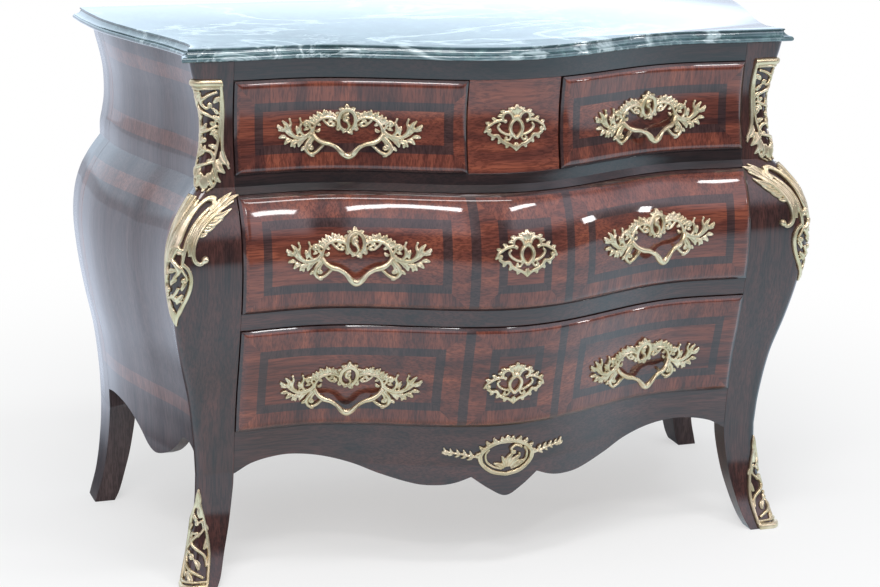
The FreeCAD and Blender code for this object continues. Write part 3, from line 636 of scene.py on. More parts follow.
@dataclass(frozen=True)
class Lacquer:
    """The clear glossy coat over the veneers; depths are in metres."""

    coat: float = 1.0
    coat_roughness: float = .05
    under_gloss: float = .2
    ripple: float = .12
    ripple_depth: float = .004
    ripple_noise: Triple = (9.0, 2.0, .4)
    relief: float = .25
    relief_depth: float = .0004
    roughness: Place = (.30, .46)

    def close(self, wiring: Wiring, place: object, grain: Grain, wood: object,
              pores: object) -> None:
        """End a wood's tree with the coated shader.

        Args:
            wiring: The material's wiring.
            place: Object coordinates.
            grain: The wood's grain.
            wood: The wood's colour.
            pores: The wood's pores, which show under the coat.
        """
        wave = wiring.noise(place, *self.ripple_noise)
        wiring.finish({"Base Color": grain.specked(wiring, wood, pores),
                       "Roughness": wiring.between(pores, *self.roughness),
                       "Specular IOR Level": self.under_gloss, "Coat Weight": self.coat,
                       "Coat Roughness": self.coat_roughness,
                       "Coat Normal": wiring.bump(wave, self.ripple, self.ripple_depth),
                       "Normal": wiring.bump(pores, self.relief, self.relief_depth)})


@dataclass(frozen=True)
class Banding:
    """Where the dark bands lie on a veneered face, in millimetres of x or y and of z."""

    reach: Place
    levels: Place
    divide: float = 0.0
    divide_half: float = 0.0
    inset: float = 28.0
    inset_far: float = 31.5
    inset_top: float = 36.0
    inset_foot: float = 30.0
    band: float = 14.0
    rim: float = 4.0

    @classmethod
    def bare(cls, half: float, levels: Place) -> "Banding":
        """Return the banding of a face without bands: all its lines lie outside the face."""
        return cls((-300, half), levels, inset=18.0, inset_top=-400, inset_foot=-400, band=0.0,
                   rim=0.0)

    def shares(self, wiring: Wiring, place: object) -> tuple[Socket, Socket, Socket]:
        """Work out where the dark wood lies.

        Args:
            wiring: The material's wiring.
            place: Object coordinates.

        Returns:
            The shares of the bands, of the rim, and of the wood whose grain stands upright.
        """
        x, _, height = wiring.axes(place)
        across = wiring.math("ABSOLUTE", x)
        low, high = self.levels
        if self.divide:
            off = wiring.math("ABSOLUTE", wiring.minus(across, self.divide * MM))
            near = wiring.minus(off, self.divide_half * MM)
        else:
            near = wiring.minus(across, self.reach[0] * MM)
        far = wiring.minus(self.reach[1] * MM, across)
        edge_u = wiring.least(wiring.minus(near, self.inset * MM),
                              wiring.minus(far, self.inset_far * MM))
        edge_v = wiring.least(wiring.minus(height, (low + self.inset_foot) * MM),
                              wiring.minus((high - self.inset_top) * MM, height))
        edge = wiring.least(edge_u, edge_v)
        field_share = wiring.beyond(edge, self.band)
        band_share = wiring.minus(wiring.beyond(edge, 0.0), field_share)
        rim = wiring.least(far, wiring.minus(height, low * MM), wiring.minus(high * MM, height))
        if self.divide:
            divide = wiring.minus(1.0, wiring.beyond(near, 0.0))
            band_share = wiring.math("MAXIMUM", band_share, divide)
        else:
            rim = wiring.least(rim, near)
        rim_share = wiring.minus(1.0, wiring.beyond(rim, self.rim))
        crossing = wiring.math("LESS_THAN", edge_v, edge_u)
        return band_share, rim_share, wiring.times(crossing, wiring.minus(1.0, field_share))


@dataclass(frozen=True)
class Kingwood:
    """Striped red-brown veneer with dark cross-banding, under lacquer."""

    dark: Colour = (.046, .012, .009)
    middle: Colour = (.135, .034, .020)
    light: Colour = (.250, .068, .035)
    band_dark: Colour = (.028, .012, .012)
    band_light: Colour = (.070, .030, .025)
    stops: Triple = (.30, .50, .72)
    band_stops: Place = (.35, .70)
    lacquer: Lacquer = Lacquer()
    grain: Grain = Grain(34.0, 1.6, 420.0, 12.0, rough=.62, twist=.5,
                         pore_tone=(.55, .5, .5), pore_stops=(.42, .55))

    def material(self, name: str, banding: Banding) -> Material:
        """Build the veneer for one face.

        Args:
            name: The material's name.
            banding: Where its dark bands lie.

        Returns:
            The material.
        """
        material, wiring, place = new_material(name)
        band_share, rim_share, upright = banding.shares(wiring, place)
        lying = self.grain.figure(wiring, place, Run.ACROSS)
        standing = self.grain.figure(wiring, place, Run.UPRIGHT)
        figure, pores = (wiring.mix(upright, *both) for both in zip(lying, standing))
        wood = wiring.ramp(figure, zip(self.stops, (self.dark, self.middle, self.light)))
        ebony = wiring.ramp(figure, zip(self.band_stops, (self.band_dark, self.band_light)))
        veneer = wiring.mix(rim_share, wiring.mix(band_share, wood, ebony), ebony)
        self.lacquer.close(wiring, place, self.grain, veneer, pores)
        return material


@dataclass(frozen=True)
class DarkVeneer:
    """Near-black rosewood on the stiles, rails, legs and apron, under lacquer."""

    dark: Colour = (.022, .009, .008)
    light: Colour = (.090, .030, .023)
    stops: Place = (.32, .75)
    run: Run = Run.UPRIGHT
    lacquer: Lacquer = Lacquer()
    grain: Grain = Grain()

    def material(self, name: str) -> Material:
        """Build the veneer."""
        material, wiring, place = new_material(name)
        figure, pores = self.grain.figure(wiring, place, self.run)
        wood = wiring.ramp(figure, zip(self.stops, (self.dark, self.light)))
        self.lacquer.close(wiring, place, self.grain, wood, pores)
        return material


@dataclass(frozen=True)
class SideVeneer:
    """Rosewood sides with two framed fields of lighter kingwood bands, under lacquer."""

    dark: Colour = (.050, .032, .034)
    light: Colour = (.120, .078, .076)
    frame_dark: Colour = (.120, .052, .042)
    frame_light: Colour = (.230, .105, .080)
    stops: Place = (.32, .75)
    frame_stops: Place = (.32, .70)
    reach: Place = (-118.0, 250.0)
    upper: Place = (690.0, 826.0)
    lower: Place = (262.0, 628.0)
    band: float = 24.0
    blur: float = .4
    lacquer: Lacquer = Lacquer()
    grain: Grain = Grain(pore_tone=(.55, .55, .55))

    def frame_share(self, wiring: Wiring, place: object, levels: Place) -> Socket:
        """Return 1 on one framed field's band, and 0 elsewhere."""
        _, y, z = wiring.axes(place)
        front, rear = self.reach
        foot, head = levels
        edge = wiring.least(wiring.minus(rear * MM, y), wiring.minus(y, front * MM),
                            wiring.minus(z, foot * MM), wiring.minus(head * MM, z))
        return wiring.minus(wiring.beyond(edge, 0.0, self.blur),
                            wiring.beyond(edge, self.band, self.blur))

    def material(self, name: str) -> Material:
        """Build the side's veneer."""
        material, wiring, place = new_material(name)
        figure, pores = self.grain.figure(wiring, place, Run.UPRIGHT)
        wood = wiring.ramp(figure, zip(self.stops, (self.dark, self.light)))
        red = wiring.ramp(figure, zip(self.frame_stops, (self.frame_dark, self.frame_light)))
        frames = wiring.math("MAXIMUM", self.frame_share(wiring, place, self.upper),
                             self.frame_share(wiring, place, self.lower))
        veneer = wiring.mix(frames, wood, red)
        self.lacquer.close(wiring, place, self.grain, veneer, pores)
        return material


@dataclass(frozen=True)
class PlainWood:
    """Planed hardwood inside the case and the drawers; the relief's depth is in metres."""

    dark: Colour = (.17, .09, .045)
    light: Colour = (.46, .30, .17)
    stops: Place = (.30, .70)
    roughness: Place = (.62, .5)
    relief: float = .35
    relief_depth: float = .0005
    grain: Grain = Grain(30.0, 1.8, 260.0, 9.0, 4.0, .55, .8, (.72, .68, .62), (.40, .58))

    def material(self, name: str, run: Run) -> Material:
        """Build the wood with its grain along one axis."""
        material, wiring, place = new_material(name)
        figure, pores = self.grain.figure(wiring, place, run)
        wood = wiring.ramp(figure, zip(self.stops, (self.dark, self.light)))
        wiring.finish({"Base Color": self.grain.specked(wiring, wood, pores),
                       "Roughness": wiring.between(pores, *self.roughness),
                       "Normal": wiring.bump(pores, self.relief, self.relief_depth)})
        return material


@dataclass(frozen=True)
class Marble:
    """Polished dark green marble with pale veins; noises are scale, detail, roughness, twist."""

    deep: Colour = (.022, .052, .060)
    cloud: Colour = (.078, .135, .155)
    fleck: Colour = (.10, .16, .15)
    vein: Colour = (.52, .63, .66)
    cloud_stops: Place = (.34, .68)
    fleck_stops: Place = (.50, .80)
    cloud_noise: tuple[float, ...] = (7.0, 8.0, .6, .6)
    fleck_noise: tuple[float, ...] = (60.0, 6.0, .65, .2)
    vein_noise: Place = (6.0, .62)
    fade_noise: Place = (3.1, 3.0)
    fade_reach: Place = (.42, .62)
    stretch: Triple = (1.0, 1.6, 1.4)
    slant: Triple = (.2, 0.0, .55)
    broad_share: float = .6
    thin_share: float = .5
    roughness: float = .12
    polish_roughness: float = .05
    polish_ior: float = 1.6

    def veins(self, wiring: Wiring, place: object, scale: float, width: float,
              twist: float) -> Socket:
        """Return thin lines where a twisted noise crosses its middle."""
        clouds = wiring.noise(place, scale, *self.vein_noise, twist)
        off = wiring.math("ABSOLUTE", wiring.minus(clouds, .5))
        return wiring.minus(1.0, wiring.step(off, 0.0, width))

    def material(self, name: str) -> Material:
        """Build the marble."""
        material, wiring, place = new_material(name)
        clouds = wiring.noise(place, *self.cloud_noise)
        stone = wiring.ramp(clouds, zip(self.cloud_stops, (self.deep, self.cloud)))
        mottle = wiring.noise(place, *self.fleck_noise)
        flecks = wiring.ramp(mottle, zip(self.fleck_stops, (BLACK, self.fleck)))
        slanted = wiring.stretched(place, self.stretch, self.slant)
        broad = self.veins(wiring, slanted, scale=2.3, width=.030, twist=.9)
        thin = self.veins(wiring, slanted, scale=5.6, width=.022, twist=1.4)
        fade = wiring.step(wiring.noise(place, *self.fade_noise), *self.fade_reach)
        lines = wiring.math("MAXIMUM", wiring.times(broad, self.broad_share),
                            wiring.times(wiring.times(thin, fade), self.thin_share))
        colour = wiring.mix(lines, wiring.mix(1.0, stone, flecks, "ADD"), self.vein)
        wiring.finish({"Base Color": colour, "Roughness": self.roughness, "Coat Weight": 1.0,
                       "Coat Roughness": self.polish_roughness, "Coat IOR": self.polish_ior})
        return material


@dataclass(frozen=True)
class Gilt:
    """Cast brass with a worn gilt face and painted shade darkening its hollows; the grit's depth is
    in metres.
    """

    bright: Colour = (.74, .61, .43)
    worn: Colour = (.49, .39, .225)
    # The near-black colour that painted shade darkens the hollows towards.
    hollow: Colour = (.045, .034, .014)
    stops: Place = (.30, .66)
    patch_noise: Triple = (38.0, 5.0, .6)
    grit_noise: Triple = (900.0, 2.0, .5)
    grit: float = .18
    grit_depth: float = .0003
    hollow_shade_reach: Place = (.415, .495)
    hollow_roughness: float = .35
    roughness: Place = (.40, .26)
    metal: float = .90
    plain: bool = False

    def material(self, name: str) -> Material:
        """Build the metal; a plain one has no painted shade in its hollows."""
        material, wiring, place = new_material(name)
        patches = wiring.noise(place, *self.patch_noise)
        colour = wiring.ramp(patches, zip(self.stops, (self.worn, self.bright)))
        rough = wiring.between(patches, *self.roughness)
        if not self.plain:
            # Painted shade: low pointiness darkens the hollows towards the hollow colour; the added
            # roughness there is the metal's own.
            relief = wiring.add("NewGeometry").outputs["Pointiness"]
            depth = wiring.minus(1.0, wiring.step(relief, *self.hollow_shade_reach))
            colour = wiring.mix(depth, colour, self.hollow)
            rough = wiring.math("ADD", rough, wiring.times(depth, self.hollow_roughness))
        grit = wiring.noise(place, *self.grit_noise)
        wiring.finish({"Base Color": colour, "Metallic": self.metal, "Roughness": rough,
                       "Normal": wiring.bump(grit, self.grit, self.grit_depth)})
        return material


@dataclass(frozen=True)
class Steel:
    """Dull filed steel of the locks; the file marks' depth is in metres."""

    dark: Colour = (.20, .19, .18)
    light: Colour = (.36, .35, .33)
    stops: Place = (.3, .7)
    stretch: Triple = (900.0, 60.0, 60.0)
    roughness: Place = (.5, .3)
    mark: float = .2
    mark_depth: float = .0003

    def material(self, name: str) -> Material:
        """Build the metal."""
        material, wiring, place = new_material(name)
        marks = wiring.noise(wiring.stretched(place, self.stretch), 1.0, 3.0)
        tone = wiring.ramp(marks, zip(self.stops, (self.dark, self.light)))
        wiring.finish({"Base Color": tone, "Metallic": 1.0,
                       "Roughness": wiring.between(marks, *self.roughness),
                       "Normal": wiring.bump(marks, self.mark, self.mark_depth)})
        return material


# ---- the marble ----
@dataclass
class MarbleTop:
    """The slab: a rounded lip under a cove, and a fillet on top."""

    lip: float = 8.0
    cove_in: float = 13.0
    cove_start: float = 9.0
    fillet: float = 3.0
    fillet_in: float = 1.5
    arris: float = 1.0
    front_count: int = 181
    side_count: int = 61
    crease: float = 26.0

    def outline(self, inset: float, z: float) -> Array:
        """Return the slab's plan at one height as a ring of points."""
        half = float(FORM.slab_side(0)) - inset
        x = spread(-half, half, self.front_count)
        front = plan(x, FORM.front_line + FORM.serpentine(x) - FORM.stile_set + inset)
        depth = spread(inset, FORM.slab_depth, self.side_count)[1:]
        right = plan(FORM.slab_side(depth) - inset, FORM.front_line + depth)
        right[-1, 1] = FORM.front_line + FORM.slab_depth - inset / 2
        left = right[::-1] * [-1, 1]
        return raised(np.concatenate([front, right, left[:-1]]), z)

    def steps(self) -> list[Place]:
        """Return the edge's moulding as pairs of inset and height, from the underside up."""
        low = FORM.case_top
        top = low + FORM.slab_thick
        radius = self.lip / 2
        cove_low = low + self.lip
        cove_high = top - self.fillet
        moulding = [(radius * (1 - math.cos(a)), low + radius * (1 + math.sin(a)))
                    for a in np.radians(spread(-90, 90, 13))]
        moulding += [(self.cove_in * math.sin(a),
                      cove_low + (cove_high - cove_low) * (1 - math.cos(a)))
                     for a in np.radians(spread(self.cove_start, 90, 10))]
        face = self.cove_in - self.fillet_in
        moulding.append((face, cove_high + self.arris * .4))
        moulding.append((face, top - self.arris))
        moulding.append((face + self.arris * .3, top - self.arris * .3))
        moulding.append((face + self.arris, top))
        return moulding

    def build(self) -> None:
        """Make the slab."""
        shell = Shell()
        shell.tube(np.stack([self.outline(inset, z) for inset, z in self.steps()]))
        piece = shell.build("marble_slab", Marble().material("green_marble"), self.crease)
        dress(piece, Body.CASE, Slot.MARBLE, "marble_top")


# ---- the case ----
def loft_post(section: Callable[[float], Array]) -> Shell:
    """Stack a post's sections from the floor up, closer where the profile turns."""
    leg = spread(0, FORM.knee, 46)
    body = spread(FORM.knee, FORM.crease, 120)[1:]
    head = spread(FORM.crease, FORM.case_top, 50)[1:]
    shell = Shell()
    shell.tube(np.stack([section(float(z)) for z in np.concatenate([leg, body, head])]))
    return shell


@dataclass
class FrontPost:
    """A stile that runs down into a curved front leg, its corner softly canted."""

    round_share: ClassVar[float] = .5
    front_count: int = 10
    cant_count: int = 8
    side_count: int = 16
    inner_count: int = 8

    def section(self, z: float) -> Array:
        """Return the right post's outline at one height."""
        x, y = (float(v) for v in FORM.corner(z))
        inner = float(FORM.leg_inner(z))
        back = float(FORM.post_rear(z))
        front_x = spread(inner, x - FORM.corner_cant, self.front_count)
        front = plan(front_x, FORM.front_y(front_x, z))
        side_y = spread(y + FORM.corner_cant, back, self.side_count)
        side = plan(FORM.side_x(side_y, z), side_y)
        middle = (front[-1] + side[0]) / 2
        knuckle = middle + (np.array([x, y]) - middle) * self.round_share
        t = spread(0, 1, self.cant_count)[1:-1, None]
        cant = front[-1] * (1 - t) ** 2 + knuckle * 2 * t * (1 - t) + side[0] * t * t
        rear = plan(spread(float(side[-1, 0]), inner, self.inner_count)[1:], back)
        inside = plan(inner, spread(back, float(front[0, 1]), self.inner_count)[1:-1])
        return raised(np.concatenate([front, cant, side, rear, inside]), z)

    def build(self, material: Material) -> None:
        """Make both posts."""
        pair(loft_post(self.section), "front_stile", "front_post", material)


@dataclass
class RearPost:
    """A rear stile with its splayed leg."""

    side_count: int = 14
    edge_count: int = 6
    inner_count: int = 8

    def section(self, z: float) -> Array:
        """Return the right post's outline at one height."""
        t = min(z / FORM.knee, 1.0)
        foot_inner = FORM.side_ends[0] + FORM.side_bulges[0] - FORM.rear_foot_width
        inner = FORM.rear_inner + (foot_inner - FORM.rear_inner) * float(INNER(t))
        front = FORM.rear_post_front + (FORM.rear_post_depth - FORM.rear_foot_depth) * (1 - t)
        side_y = spread(front, FORM.case_back, self.side_count)
        side = plan(FORM.side_x(side_y, z), side_y)
        start = plan(spread(inner, float(side[0, 0]), self.edge_count)[:-1], front)
        rear = plan(spread(float(side[-1, 0]), inner, self.edge_count)[1:], FORM.case_back)
        inside = plan(inner, spread(FORM.case_back, front, self.inner_count)[1:-1])
        return raised(np.concatenate([start, side, rear, inside]), z)

    def build(self, material: Material) -> None:
        """Make both posts."""
        pair(loft_post(self.section), "rear_stile", "rear_post", material)


@dataclass
class SidePanel:
    """A swelling side between the posts, with a lobed lower edge."""

    columns: int = 70
    low_rows: int = 110
    high_rows: int = 44
    arris: float = .6

    def build(self, material: Material) -> None:
        """Make both sides."""
        y = spread(FORM.post_back, FORM.rear_post_front, self.columns)
        edge = FORM.knee * SIDE_LOBES((y - y[0]) / (y[-1] - y[0]))
        share = spread(0, 1, self.low_rows)[:, None]
        low = edge + (FORM.crease - edge) * share
        high = spread(FORM.crease, FORM.case_top, self.high_rows)[1:, None]
        z = np.concatenate([low, np.repeat(high, self.columns, axis=1)])
        depth = np.repeat(y[None, :], len(z), axis=0)
        outer = np.stack([FORM.side_x(depth, z), depth, z], axis=-1)
        shell = Shell()
        shell.slab(outer, outer - [FORM.side_stock, 0, 0])
        pair(shell, "flank", "side_panel", material, self.arris)


@dataclass
class FrontBoards:
    """The rails, the centre panel and the lobed apron of the front."""

    columns: int = 240
    panel_columns: int = 44
    lobe_columns: int = 40
    arch_columns: int = 109
    step: float = 4.0
    panel_gap: float = 1.5
    arris: float = .6
    pocket_half: float = 12.6
    pocket_gap: float = 1.0
    pocket_spare: float = 2.5
    pocket_near: float = 6.0
    level_slack: float = .01

    def board(self, name: str, material: Material, x: Array, foot: Array, head: float,
              kinks: Sequence[float] = ()) -> Piece:
        """Make a board whose face is the case's front.

        Args:
            name: The piece's name.
            material: Its finish.
            x: Places of its columns.
            foot: Height of its lower edge at each column.
            head: Height of its upper edge.
            kinks: Heights at which its face turns sharply.

        Returns:
            The board.
        """
        levels = [float(foot.min()), *kinks, head]
        shares: list[float] = []
        for low, high in zip(levels, levels[1:]):
            count = max(3, int((high - low) / self.step))
            shares += [((low + (high - low) * i / count) - levels[0]) / (head - levels[0])
                       for i in range(count)]
        share = np.array(shares + [1.0])[:, None]
        z = foot + (head - foot) * share
        places = np.repeat(x[None, :], len(z), axis=0)
        face = np.stack([places, FORM.front_y(places, z), z], axis=-1)
        shell = Shell()
        shell.slab(face, face + [0, FORM.front_stock, 0])
        return shell.build(name, material)

    def pocket(self, board: Piece, foot: float, bolt: str) -> None:
        """Cut the pocket that takes a thrown lock bolt, up into a rail along the bolt's own way.

        Args:
            board: The rail, before its edges are softened.
            foot: Height of the rail's underside.
            bolt: Name of the bolt, whose joint has the same name with _slide.
        """
        slide = bolt.replace("lock_", "") + "_slide"
        joint = next(joint for joint in frame["joints"] if joint["name"] == slide)
        way = np.array(joint["axis"], float)
        across = np.array([0.0, way[2], -way[1]])
        bar = np.array([corner.co for corner in frame["nodes"][bolt].data.vertices])
        deep = bar @ across
        front, back = deep.min() - self.pocket_gap * MM, deep.max() + self.pocket_gap * MM
        reach = (joint["range_m"][1] + self.pocket_spare * MM) * way[2]
        climb = bar[:, 2].max() + reach - foot * MM
        half = self.pocket_half * MM
        mesh = bmesh.new()
        mesh.from_mesh(board.data)

        def under() -> list[bmesh.types.BMFace]:
            """Return the faces of the underside near the bolt."""
            return [face for face in mesh.faces
                    if abs(face.calc_center_median().x) < half + self.pocket_near * MM
                    and all(abs(corner.co.z - foot * MM) < self.level_slack * MM
                            for corner in face.verts)]

        planes = (((-half, 0, 0), (1, 0, 0)), ((half, 0, 0), (1, 0, 0)),
                  (tuple(across * front), tuple(across)), (tuple(across * back), tuple(across)))
        for place, normal in planes:
            faces = under()
            parts = [part for face in faces for part in (*face.verts, *face.edges, face)]
            bmesh.ops.bisect_plane(mesh, geom=list(dict.fromkeys(parts)), plane_co=place,
                                   plane_no=normal)
        mouth = [face for face in under() if abs(face.calc_center_median().x) < half
                 and front < np.dot(face.calc_center_median(), across) < back]
        moved = bmesh.ops.extrude_face_region(mesh, geom=mouth)["geom"]
        bmesh.ops.translate(mesh, vec=tuple(way * climb / way[2]),
                            verts=[part for part in moved if isinstance(part, bmesh.types.BMVert)])
        bmesh.ops.delete(mesh, geom=[face for face in mouth if face.is_valid], context="FACES")
        bmesh.ops.recalc_face_normals(mesh, faces=mesh.faces)
        mesh.to_mesh(board.data)
        mesh.free()

    def build(self, rail: Material, shaded: Material, panel: Material) -> None:
        """Make every board of the front.

        Args:
            rail: Finish of the lower rail and of the apron.
            shaded: Finish of the frieze and upper rails: the dark veneer made darker, as painted
                shade where they lie in shade.
            panel: Finish of the centre panel.
        """
        half = FORM.opening_half
        x = spread(-half, half, self.columns + 1)
        # The frieze and upper rail take the darker veneer, whose darkness is painted shade.
        rails = (("frieze_rail", FORM.frieze, FORM.case_top, (), shaded, ""),
                 ("upper_rail", FORM.upper_rail, FORM.upper, (FORM.crease,), shaded,
                  "middle_lock_bolt"),
                 ("lower_rail", FORM.lower_rail, FORM.middle, (), rail, "bottom_lock_bolt"))
        for node, foot, head, kinks, finish, bolt in rails:
            piece = self.board(node + "_veneered", finish, x, np.full_like(x, foot), head, kinks)
            if bolt:
                self.pocket(piece, foot, bolt)
            dress(soften(piece, self.arris), Body.CASE, Slot.DARK_VENEER, node)
        wide = FORM.partition_half - self.panel_gap
        x = spread(-wide, wide, self.panel_columns + 1)
        foot = np.full_like(x, FORM.upper)
        piece = self.board("centre_panel_veneered", panel, x, foot, FORM.frieze)
        dress(soften(piece, self.arris), Body.CASE, Slot.KINGWOOD, "centre_panel")
        turn = half * LOBE
        x = np.concatenate([spread(-half, -turn, self.arch_columns + 1)[:-1],
                            spread(-turn, turn, self.lobe_columns + 1),
                            spread(turn, half, self.arch_columns + 1)[1:]])
        share = x / half
        lobed = np.where(np.abs(share) <= LOBE, APRON_LOBE(share), APRON_ARCH(np.abs(share)))
        piece = self.board("apron_veneered", rail, x, lobed * FORM.knee, FORM.apron)
        dress(soften(piece, self.arris), Body.CASE, Slot.DARK_VENEER, "front_apron")


# ---- the drawers ----
@dataclass
class DrawerFront:
    """A proud, rounded drawer front on the case's curve."""

    name: str
    body: Body
    x0: float
    x1: float
    z0: float
    z1: float
    gap: float = 1.0
    proud: float = 9.0
    edge_proud: float = 3.0
    bevel: float = 9.0
    bevel_power: float = 1.3
    bevel_steps: int = 7
    stock: float = 20.0
    pitch: float = 6.0
    crease: float = 38.0

    def places(self, low: float, high: float) -> Array:
        """Return places across the front, close together over the rounded edges."""
        roll = self.bevel * (1 - np.cos(np.radians(spread(0, 90, self.bevel_steps + 1))))[:-1]
        count = max(4, int((high - low) / self.pitch))
        inner = spread(low + self.bevel, high - self.bevel, count)
        return np.concatenate([low + roll, inner, high - roll[::-1]])

    def build(self, material: Material) -> Piece:
        """Make the front."""
        x = self.places(self.x0 + self.gap, self.x1 - self.gap)
        z = self.places(self.z0 + self.gap, self.z1 - self.gap)
        grid_x, grid_z = np.meshgrid(x, z)
        edge = np.minimum(np.minimum(grid_x - x[0], x[-1] - grid_x),
                          np.minimum(grid_z - z[0], z[-1] - grid_z))
        t = 1 - np.clip(edge / self.bevel, 0, 1)
        lift = self.edge_proud + (self.proud - self.edge_proud) * (1 - t ** self.bevel_power)
        case = FORM.front_y(grid_x, grid_z)
        face = np.stack([grid_x, case - lift, grid_z], axis=-1)
        back = np.stack([grid_x, case - self.edge_proud + self.stock, grid_z], axis=-1)
        shell = Shell()
        shell.slab(face, back)
        piece = shell.build(self.name + "_veneered", material, self.crease)
        return dress(piece, self.body, Slot.KINGWOOD, self.name + "_front")


def drawer_fronts() -> list[DrawerFront]:
    """Return the four drawer fronts."""
    half = FORM.opening_half
    inner = FORM.partition_half
    return [DrawerFront("top_left", Body.TOP_LEFT, -half, -inner, FORM.upper, FORM.frieze),
            DrawerFront("top_right", Body.TOP_RIGHT, inner, half, FORM.upper, FORM.frieze),
            DrawerFront("middle", Body.MIDDLE, -half, half, FORM.middle, FORM.upper_rail),
            DrawerFront("bottom", Body.BOTTOM, -half, half, FORM.apron, FORM.lower_rail)]


# ---- castings ----
Seat = Callable[[Array, Array], Array]
Skin = tuple[Array, Array]
ROUND = np.radians(spread(0, 360, 17)[:-1])
NUDGE = 1.5
SEAT_GAP = .1
CAST_CREASE = 70.0


def smoothed(path: Sequence[Sequence[float]], step: float = 1.2) -> Array:
    """Run a smooth line through points.

    Args:
        path: The points, in any number of dimensions.
        step: Spacing of the line's points.

    Returns:
        The line's points.
    """
    points = np.array(path, float)
    run = np.concatenate([[0.0], np.cumsum(np.linalg.norm(np.diff(points, axis=0), axis=1))])
    at = spread(0, float(run[-1]), max(6, int(run[-1] / step)))
    return np.stack([Curve(list(zip(run, column)))(at) for column in points.T], axis=1)


def spiral(u: float, v: float, radius: float, start: float, sweep: float) -> list[Place]:
    """Return points that wind in towards the eye of a scroll.

    Args:
        u: Place of the eye across.
        v: Place of the eye upwards.
        radius: Distance of the first point from the eye.
        start: Direction of the first point in degrees.
        sweep: How far the scroll turns, in degrees.

    Returns:
        The points.
    """
    shares = spread(0, 1, max(5, int(abs(sweep) / 45)))
    turns = np.radians(start + sweep * shares)
    reach = radius * (1 - .7 * shares)
    return list(zip(u + reach * np.cos(turns), v + reach * np.sin(turns)))


@dataclass(frozen=True)
class Strand:
    """A tapering raised strand of a casting; a grooved one reads as a leaf."""

    path: Sequence[Place]
    widths: tuple[float, ...] = (4.2, 3.6, 2.2)
    heights: tuple[float, ...] = (5.0, 5.5, 3.5)
    groove: float = 0.0
    groove_half: ClassVar[float] = .4
    wall: ClassVar[float] = .25

    def rings(self) -> Array:
        """Return the strand's sections, flat side down at height 0."""
        line = smoothed(self.path)
        t = spread(0, 1, len(line))
        way = np.gradient(line, axis=0)
        way /= np.maximum(np.linalg.norm(way, axis=1, keepdims=True), 1e-6)
        side = np.stack([-way[:, 1], way[:, 0]], axis=1)
        half = Curve(list(zip(spread(0, 1, len(self.widths)), self.widths)))(t) / 2
        tall = Curve(list(zip(spread(0, 1, len(self.heights)), self.heights)))(t)
        turn = np.radians(spread(0, 180, 11))
        across = np.concatenate([[1.0], np.cos(turn), [-1.0]])
        hollow = self.groove * np.exp(-(np.cos(turn) / self.groove_half) ** 2)
        rise = (self.wall + (1 - self.wall) * np.sin(turn)) * (1 - hollow)
        rise = np.concatenate([[0.0], rise, [0.0]])
        flat = line[:, None, :] + side[:, None, :] * (half[:, None] * across)[:, :, None]
        return np.concatenate([flat, (tall[:, None] * rise)[:, :, None]], axis=2)


def leaf(root: Place, tip: Place, width: float = 6.0, bend: float = .16,
         height: float = 5.5) -> Strand:
    """Return a grooved leaf from its root to its tip, bent sideways by a share of its length."""
    along = np.array(tip, float) - np.array(root, float)
    middle = (np.array(root) + np.array(tip)) / 2 + bend * np.array([-along[1], along[0]])
    return Strand([root, tuple(middle), tip], (width * .5, width, width * .8, 1.6),
                  (height * .7, height, height, height * .6), .45)


